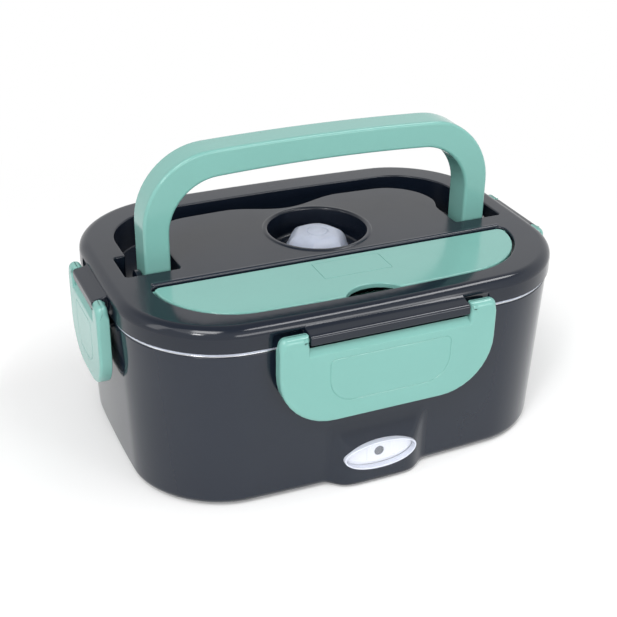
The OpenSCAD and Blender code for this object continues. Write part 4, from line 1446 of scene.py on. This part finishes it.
@dataclass
class Latch:
    """A clip-down latch: a curved plate with two ears and a hook, hollow behind."""

    side: Side
    node: str
    ear: float
    radius: float
    panel: tuple[float, float, float, float, float]
    out: float = 7.3
    rim_in: float = 1.4
    plate: float = 2.7
    rim: float = 2.2
    edge: float = 1.5
    ear_edge: float = 3.0
    cut_below: float = 7.6
    flare: float = 3.5

    def build(self) -> None:
        """Makes the latch."""
        low, high = span(self.node)
        along = high.x - low.x if self.side in (Side.FRONT, Side.BACK) else high.y - low.y
        half, top, bottom = along / 2, high.z, low.z
        inner, pivot = half - self.ear, DATUM.skirt_z + 3.8
        cut = pivot - self.cut_below
        path = rounded([(half, top, 3.6), (inner, top, 1.0), (inner, cut, 1.8), (-inner, cut, 1.8), (-inner, top, 1.0),
                        (-half, top, 3.6), (-half, bottom, self.radius), (half, bottom, self.radius)], 10, 3)
        ear_share = [ease((p.y - pivot + 3.5) / 4) for p in path]
        notch = [abs(p.x) < inner + 0.3 and cut - 0.2 < p.y < top - 2 for p in path]

        def loop(inset: float, out: float, lift: float, back: bool = False) -> Path:
            """Returns one loop of the latch.

            Args:
                inset: Share of the edge radius that the loop is drawn in.
                out: Share of the edge radius that the loop is set back from the face.
                lift: How far the notch's sill is raised.
                back: Whether the loop belongs to the back edge.
            """
            size = [mix(0.4 if back else self.edge, self.ear_edge - 0.3 if back else self.ear_edge, s)
                    for s in ear_share]
            face = self.rim_in if back else self.out
            sign = 1 if back else -1
            moved = offset(path, [-inset * s for s in size])
            points = []
            for p, s, in_notch in zip(moved, size, notch):
                y = max(p.y, cut + lift) if in_notch and lift else p.y
                points.append(Vector((p.x, y, face + sign * out * s)))
            return points

        turn = [math.radians(90 * i / 6) for i in range(7)]
        front = [loop(1 - math.sin(t), 1 - math.cos(t), self.flare * min(1.0, (1 - math.cos(t)) * self.edge / self.plate))
                 for t in turn]
        deep = [Vector((p.x, max(p.y, cut + self.flare) if n else p.y, self.out - self.plate)) for p, n in zip(path, notch)]
        sill = [Vector((p.x, max(p.y, cut + 1) if n else p.y, self.out - self.plate - 0.25)) for p, n in zip(path, notch)]
        rear = [loop(1 - math.sin(t), 1 - math.cos(t), 1, True) for t in reversed(turn)]
        mould = Mould()
        face, back = mould.loft((points, None) for points in front + [deep, sill] + rear)
        a, p0, p1, r0, r1 = self.panel
        panel = rounded([(a, p1, r1), (-a, p1, r1), (-a, p0, r0), (a, p0, r0)], 8, 4)
        groove = mould.sweep(lambda grow: offset(panel, grow),
                             [(0.05, self.out), (-0.1, self.out - 0.2), (-0.32, self.out - 0.2), (-0.47, self.out)])
        mould.fill(face, groove[0])
        mould.fill(groove[1])
        hollow = rounded([(half - self.rim, cut - 2, 1), (self.rim - half, cut - 2, 1),
                          (self.rim - half, bottom + self.rim, self.radius - self.rim),
                          (half - self.rim, bottom + self.rim, self.radius - self.rim)], 10, 4)
        rings = mould.loft([(hollow, self.rim_in), (hollow, self.out - self.plate)])
        mould.fill(back, rings[0])
        mould.fill(rings[1])
        hook = Mould()
        wide, z0, z1 = inner - 1, DATUM.rim_z - 10.2, DATUM.rim_z - 8
        hook.prism(rounded([(wide, z1, 0.4), (-wide, z1, 0.4), (-wide, z0, 0.4), (wide, z0, 0.4)], 3),
                   1.25, self.out - self.plate + 0.2, 0.3)
        mould.add(hook)
        for sign in (-1, 1):
            pin = Mould()
            near, far = sorted((sign * (inner - 3), sign * (inner + 1)))
            pin.rod(1.3, near, far, pivot, 3.9, 24)
            mould.add(pin)
        mould.place(self.side.matrix).cast(self.side.name.lower() + "_clip", TEAL, self.node, self.node)


@dataclass
class CutleryCover:
    """The hinged cover over the cutlery well, with its finger scoop."""

    plan: CoverPlan
    thick: float = 2.2
    skirt: float = 1.2
    edge: float = 0.9
    scoop_r: float = 16.8
    scoop_y: float = -75.0
    panel: tuple[float, float, float, float] = (-15.9, 19.8, -46.3, -29.4)

    def build(self) -> None:
        """Makes the cover."""
        low, high = span("cutlery_cover")
        top = high.z
        mould = Mould()
        profile = ([(-0.7, top - self.thick - self.skirt), (-0.4, top - self.thick - self.skirt + 0.3),
                    (-0.4, top - self.thick), (0, top - self.thick + 0.2)]
                   + arc((-self.edge, top - self.edge), self.edge, 0, 90, 5))
        under, rim = mould.sweep(self.plan.outline, profile)
        x0, x1, y0, y1 = self.panel
        box = rounded([(x1, y1, 0.5), (x0, y1, 0.5), (x0, y0, 0.5), (x1, y0, 0.5)], 3, 6)
        groove = mould.sweep(lambda grow: offset(box, grow),
                             [(0.05, top), (-0.06, top - 0.22), (-0.26, top - 0.22), (-0.37, top)])
        mould.fill(rim, groove[0])
        mould.fill(groove[1])
        recess = mould.sweep(self.plan.outline, [(-2.4, top - self.thick - self.skirt), (-2.4, top - self.thick)])
        mould.fill(under, recess[0])
        mould.fill(recess[1])
        scoop = Mould()
        low_z = top - self.thick - self.skirt - 1
        scoop.fill_ends(scoop.sweep(lambda grow: circle(self.scoop_r + grow, (0, self.scoop_y), 128),
                                    [(-0.5, low_z), (0, top - 0.8)]
                                    + arc((0.6, top - 0.6), 0.6, 180, 100, 4) + [(0.7, top + 0.3), (0.7, top + 2)]))
        mould.combine(scoop, Combine.CUT)
        hinge_y, hinge_z = -self.plan.back - 2, top - 1.8
        for sign in (-1, 1):
            near, far = sorted((sign * (self.plan.a - 6), sign * (high.x - 0.05)))
            mould.rod(0.9, near, far, hinge_y, hinge_z, 24, 0.15)
        mould.cast("cutlery_lid", TEAL, "cutlery_cover", "cutlery_cover")


@dataclass
class SteamValve:
    """The fluted silicone valve in the vent well."""

    cap: float = 8.0
    flange: float = 0.5
    flutes: int = 6
    flute_depth: float = 0.1
    count: int = 144

    @property
    def radius(self) -> float:
        """Radius of the dome at its foot."""
        low, high = span("vent_valve")
        return (high.x - low.x) / 2 - self.flange

    def loop(self, radius: float, depth: float) -> Path:
        """Returns a ring of the valve, drawn in where its flutes pass."""
        x, y = vent_centre()
        moved = []
        for p in circle(radius, (0, 0), self.count):
            angle = math.atan2(p.y, p.x)
            hollow = 1 - self.flute_depth * depth * abs(math.sin(self.flutes / 2 * angle)) ** 0.8
            moved.append(Vector((x + p.x * hollow, y + p.y * hollow, 0)))
        return moved

    def build(self) -> None:
        """Makes the valve with its flange, dome, disc and stem."""
        low, high = span("vent_valve")
        base = DATUM.lid_top - 13.5
        flange = self.radius + self.flange
        rows: list[tuple[float, float, float]] = [
            (2.0, low.z, 0), (3.0, low.z + 0.8, 0), (3.0, base, 0), (flange - 0.3, base, 0), (flange, base + 0.3, 0),
            (flange, base + 1.1, 0), (flange - 0.4, base + 1.45, 0), (self.radius + 0.1, base + 1.6, 0.3)]
        for i in range(13):
            t = math.radians(88 * i / 12)
            rows.append((self.cap + (self.radius - self.cap) * math.cos(t),
                         base + 1.8 + (high.z - base - 1.8) * math.sin(t), ease(i / 2) * (1 - ease((i - 8) / 4))))
        top = high.z
        rows += [(5.9, top - 0.02, 0), (5.7, top - 0.4, 0), (5.1, top - 0.4, 0), (4.9, top - 0.05, 0), (0.6, top - 0.02, 0)]
        mould = Mould()
        mould.fill_ends(mould.loft((self.loop(r, depth), z) for r, z, depth in rows))
        mould.cast("steam_valve", SILICONE, "vent_valve", "vent_valve")


@dataclass
class Cutlery:
    """The spoon and the fork stored in the lid."""

    grip_round: float = 4.5

    def grip(self, name: str, node: str) -> None:
        """Makes one plastic grip."""
        low, high = span(node)
        y, half = (low.y + high.y) / 2, (high.y - low.y) / 2 - 0.02
        mould = Mould()
        mould.prism(rounded([(high.x, y + half, half - 0.05), (low.x, y + half, half - 0.05),
                             (low.x, y - half, half - 0.05), (high.x, y - half, half - 0.05)], 10, 8),
                    low.z, high.z, 1.2, 4)
        mould.cast(name, TEAL, "lid", node)

    def spoon(self) -> None:
        """Makes the spoon's steel shank and bowl."""
        low, high = span("spoon_bowl")
        y, rim = (low.y + high.y) / 2, (high.y - low.y) / 2
        centre = high.x - rim
        mould = Mould()
        profile = ([(rim * share, low.z + (high.z - low.z) * share ** 2) for share in (0.05, 0.3, 0.55, 0.75, 0.9, 0.98, 1.0)]
                   + [(rim - 0.4, high.z)]
                   + [(rim * share - 0.4, low.z + 0.8 + (high.z - low.z - 0.8) * share ** 2)
                      for share in (0.97, 0.85, 0.65, 0.4, 0.1)])
        mould.fill_ends(mould.sweep(lambda r: circle(r, (centre, y), 64), profile))
        shank = Mould()
        shank.prism(rounded([(centre - rim * 0.4, y + 2.9, 1), (low.x, y + 2.9, 0.3), (low.x, y - 2.9, 0.3),
                             (centre - rim * 0.4, y - 2.9, 1)], 4, 6), low.z + 1.5, low.z + 2.5, 0.3)
        mould.add(shank)
        mould.cast("spoon_steel", STEEL, "lid", "spoon_bowl")

    def fork(self) -> None:
        """Makes the fork's steel shank and tines."""
        low, high = span("fork_head")
        y, half = (low.y + high.y) / 2, (high.y - low.y) / 2
        tine, gap, root = 2.8, 1.8, low.x + 12
        corners = [(high.x, y - 2.9, 0.3), (high.x, y + 2.9, 0.3), (root + 12, y + 2.9, 3), (root + 4, y + half, 5),
                   (low.x, y + half, 1.2)]
        for k in range(3):
            edge = y + half - tine - k * (tine + gap)
            corners += [(low.x, edge, 1.2), (root, edge, 0.85), (root, edge - gap, 0.85), (low.x, edge - gap, 1.2)]
        corners += [(low.x, y - half, 1.2), (root + 4, y - half, 5), (root + 12, y - 2.9, 3)]
        mould = Mould()
        mould.prism(rounded(corners, 4, 5), low.z, high.z, 0.25)
        mould.cast("fork_steel", STEEL, "lid", "fork_head")

    def build(self) -> None:
        """Makes both tools."""
        self.grip("spoon_handle", "spoon_grip")
        self.grip("fork_handle", "fork_grip")
        self.spoon()
        self.fork()


@dataclass
class Hardware:
    """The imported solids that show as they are, each with its finish."""

    finishes: tuple[tuple[str, Finish], ...] = (
        ("base_cover", BLACK), ("base_screws", STEEL), ("feet", FOOT_RUBBER), ("heating_plate", ALUMINIUM),
        ("heater_element", CERAMIC), ("heater_clamp", STEEL), ("clamp_screws", STEEL), ("thermostat", BLACK),
        ("thermal_fuse", CERAMIC), ("lens_studs", LENS), ("power_inlet", BLACK),
        ("inlet_pins", STEEL), ("live_wire", RED_WIRE), ("neutral_wire", BLUE_WIRE), ("handle_pins", STEEL))

    def build(self) -> None:
        """Gives each solid its finish."""
        for node, finish in self.finishes:
            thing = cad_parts[node]
            thing.data.materials.clear()
            thing.data.materials.append(finish.material())
            LOG.info("%s: keeps its solid, in %s", node, finish.slot)


# Studio


@dataclass
class Softbox:
    """One large soft lamp."""

    name: str
    place: tuple[float, float, float]
    target: tuple[float, float, float]
    size: tuple[float, float]
    power: float

    def build(self) -> None:
        """Hangs the lamp and points it at its target."""
        data = bpy.data.lights.new(self.name, "AREA")
        data.shape = "RECTANGLE"
        data.size, data.size_y = self.size
        data.energy = self.power
        lamp = bpy.data.objects.new(self.name, data)
        bpy.context.scene.collection.objects.link(lamp)
        lamp.location = self.place
        lamp.rotation_euler = (Vector(self.target) - Vector(self.place)).to_track_quat("-Z", "Y").to_euler()


@dataclass
class Studio:
    """Camera, floor, backdrop light and lamps."""

    eye: tuple[float, float, float] = (-0.2228, -0.4965, 0.3446)
    yaw: float = 25.8
    pitch: float = -27.9
    roll: float = 1.81
    focal_px: float = 1181.4
    centre_px: tuple[float, float] = (36.3, -1.2)
    picture_px: float = 617.0
    sensor: float = 36.0
    floor_half: float = 6.0
    floor_glow: float = 0.12
    floor_clear: tuple[float, float] = (0.18, 0.42)
    ambient: float = 0.45
    ceiling: float = 0.6
    ceiling_from: tuple[float, float] = (0.5, 0.95)
    daylight: float = 0.42
    daylight_angle: float = 40.0
    daylight_turn: tuple[float, float] = (-32.0, -24.0)
    lamps: tuple[Softbox, ...] = (
        Softbox("key", (-0.65, -0.75, 1.45), (0, 0, 0.08), (0.6, 0.6), 9.0),
        Softbox("glint", (-1.0, -1.0, 0.87), (0, 0, 0.1), (0.2, 0.3), 4.0),
        Softbox("top_strip", (0.55, -0.35, 1.2), (0, 0, 0.1), (1.2, 0.2), 6.5),
        Softbox("left_strip", (-1.2, -0.1, 0.7), (0, 0, 0.06), (0.3, 1.0), 2.0),
        Softbox("front_fill", (0.3, -1.3, 0.3), (0, 0, 0.04), (0.9, 0.4), 5.0))

    def camera(self) -> None:
        """Puts the camera where the photograph was taken from."""
        yaw, pitch, roll = (math.radians(angle) for angle in (self.yaw, self.pitch, self.roll))
        look = Vector((math.sin(yaw) * math.cos(pitch), math.cos(yaw) * math.cos(pitch), math.sin(pitch)))
        right = look.cross(Vector((0, 0, 1))).normalized()
        up = right.cross(look)
        across = right * math.cos(roll) + up * math.sin(roll)
        above = up * math.cos(roll) - right * math.sin(roll)
        data = bpy.data.cameras.new("camera")
        data.sensor_width = self.sensor
        data.lens = self.focal_px / self.picture_px * self.sensor
        data.shift_x = -self.centre_px[0] / self.picture_px
        data.shift_y = self.centre_px[1] / self.picture_px
        data.clip_start = 0.01
        camera = bpy.data.objects.new("camera", data)
        bpy.context.scene.collection.objects.link(camera)
        turn = Matrix((across, above, -look)).transposed().to_4x4()
        camera.matrix_world = Matrix.Translation(self.eye) @ turn
        bpy.context.scene.camera = camera

    def seen(self, recipe: Recipe) -> Term:
        """Returns 1 for rays that see the backdrop directly, in gloss or through glass, and 0 for the rest."""
        path = recipe.node("ShaderNodeLightPath")
        rays = [Term(recipe, path.outputs[f"Is {kind} Ray"]) for kind in ("Camera", "Glossy", "Transmission")]
        return (rays[0] + rays[1] + rays[2]).between(0, 1)

    def floor(self) -> None:
        """Lays the floor: white to the camera, with the object's soft shadow."""
        recipe = Recipe("studio_floor")
        paper = recipe.noise(60, 2)
        tone = recipe.blend(paper, (0.95, 0.95, 0.95, 1), (0.97, 0.97, 0.97, 1))
        matt = recipe.node("ShaderNodeBsdfDiffuse", {"Color": tone})
        white = recipe.node("ShaderNodeEmission", {"Color": (1, 1, 1, 1), "Strength": 1.0})
        away = Term(recipe, recipe.node("ShaderNodeVectorMath", {0: recipe.place()}, operation="LENGTH").outputs["Value"])
        near, far = self.floor_clear
        share = self.seen(recipe) * (away.between(near, far) * (1 - self.floor_glow) + self.floor_glow)
        mixed = recipe.node("ShaderNodeMixShader", {0: share, 1: matt.outputs[0], 2: white.outputs[0]})
        recipe.node("ShaderNodeOutputMaterial", {"Surface": mixed.outputs[0]})
        shape = bmesh.new()
        bmesh.ops.create_grid(shape, x_segments=8, y_segments=8, size=self.floor_half)
        data = bpy.data.meshes.new("floor")
        shape.to_mesh(data)
        shape.free()
        floor = bpy.data.objects.new("floor", data)
        bpy.context.scene.collection.objects.link(floor)
        data.materials.append(recipe.material)

    def world(self) -> None:
        """Sets a plain pale surround that the camera, gloss and glass see as white."""
        world = bpy.data.worlds.new("surround")
        bpy.context.scene.world = world
        world.use_nodes = True
        recipe = Recipe("surround_nodes")
        bpy.data.materials.remove(recipe.material)
        recipe.tree = world.node_tree
        recipe.tree.nodes.clear()
        height = Term(recipe, recipe.node("ShaderNodeSeparateXYZ", {"Vector": recipe.place()}).outputs["Z"])
        gloss = Term(recipe, recipe.node("ShaderNodeLightPath").outputs["Is Glossy Ray"])
        dim = gloss * (height.between(*self.ceiling_from) * self.ceiling)
        light = self.seen(recipe) * (1 - self.ambient) + self.ambient - dim
        back = recipe.node("ShaderNodeBackground", {"Color": (1, 1, 1, 1), "Strength": light})
        recipe.node("ShaderNodeOutputWorld", {"Surface": back.outputs[0]})

    def sky(self) -> None:
        """Hangs one very large, even lamp overhead."""
        data = bpy.data.lights.new("sky", "SUN")
        data.energy = self.daylight
        data.angle = math.radians(self.daylight_angle)
        lamp = bpy.data.objects.new("sky", data)
        bpy.context.scene.collection.objects.link(lamp)
        lamp.rotation_euler = [math.radians(angle) for angle in (-self.daylight_turn[1], self.daylight_turn[0], 0)]

    def build(self) -> None:
        """Makes the studio."""
        scene = bpy.context.scene
        scene.view_settings.view_transform = "Standard"
        self.camera()
        self.floor()
        self.world()
        self.sky()
        for lamp in self.lamps:
            lamp.build()


def main() -> None:
    """Builds the studio, then the box from the base upwards."""
    logging.basicConfig(level=logging.INFO, format="%(name)s: %(message)s")
    Studio().build()
    boss = Boss()
    cover_low, cover_high = span("cutlery_cover")
    plan = CoverPlan(a=cover_high.x - 2.8, front=-cover_low.y, back=-cover_high.y)
    handle_low, handle_high = span("handle")
    leg_out = handle_high.x
    grip = Handle()
    lid = LidShell(plan, leg_out, leg_out - grip.width,
                   DATUM.pivot_y + handle_high.z - grip.grip_h - DATUM.pivot_z - 1)
    parts = [
        BaseShell(boss), Indicator(boss), FoodTray(), SideDish(), lid, LidUnderside(), grip,
        Latch(Side.FRONT, "front_latch", 14.2, 27.4, (30.9, 55.0, 78.2, 12.5, 2.9)),
        Latch(Side.BACK, "back_latch", 14.2, 27.4, (30.9, 55.0, 78.2, 12.5, 2.9)),
        Latch(Side.LEFT, "left_latch", 9.2, 20.0, (14.0, 55.0, 78.2, 9.0, 2.4)),
        Latch(Side.RIGHT, "right_latch", 9.2, 20.0, (14.0, 55.0, 78.2, 9.0, 2.4)),
        CutleryCover(plan), SteamValve(), Cutlery(), Hardware()]
    for part in parts:
        part.build()


if __name__ == "__main__":
    main()
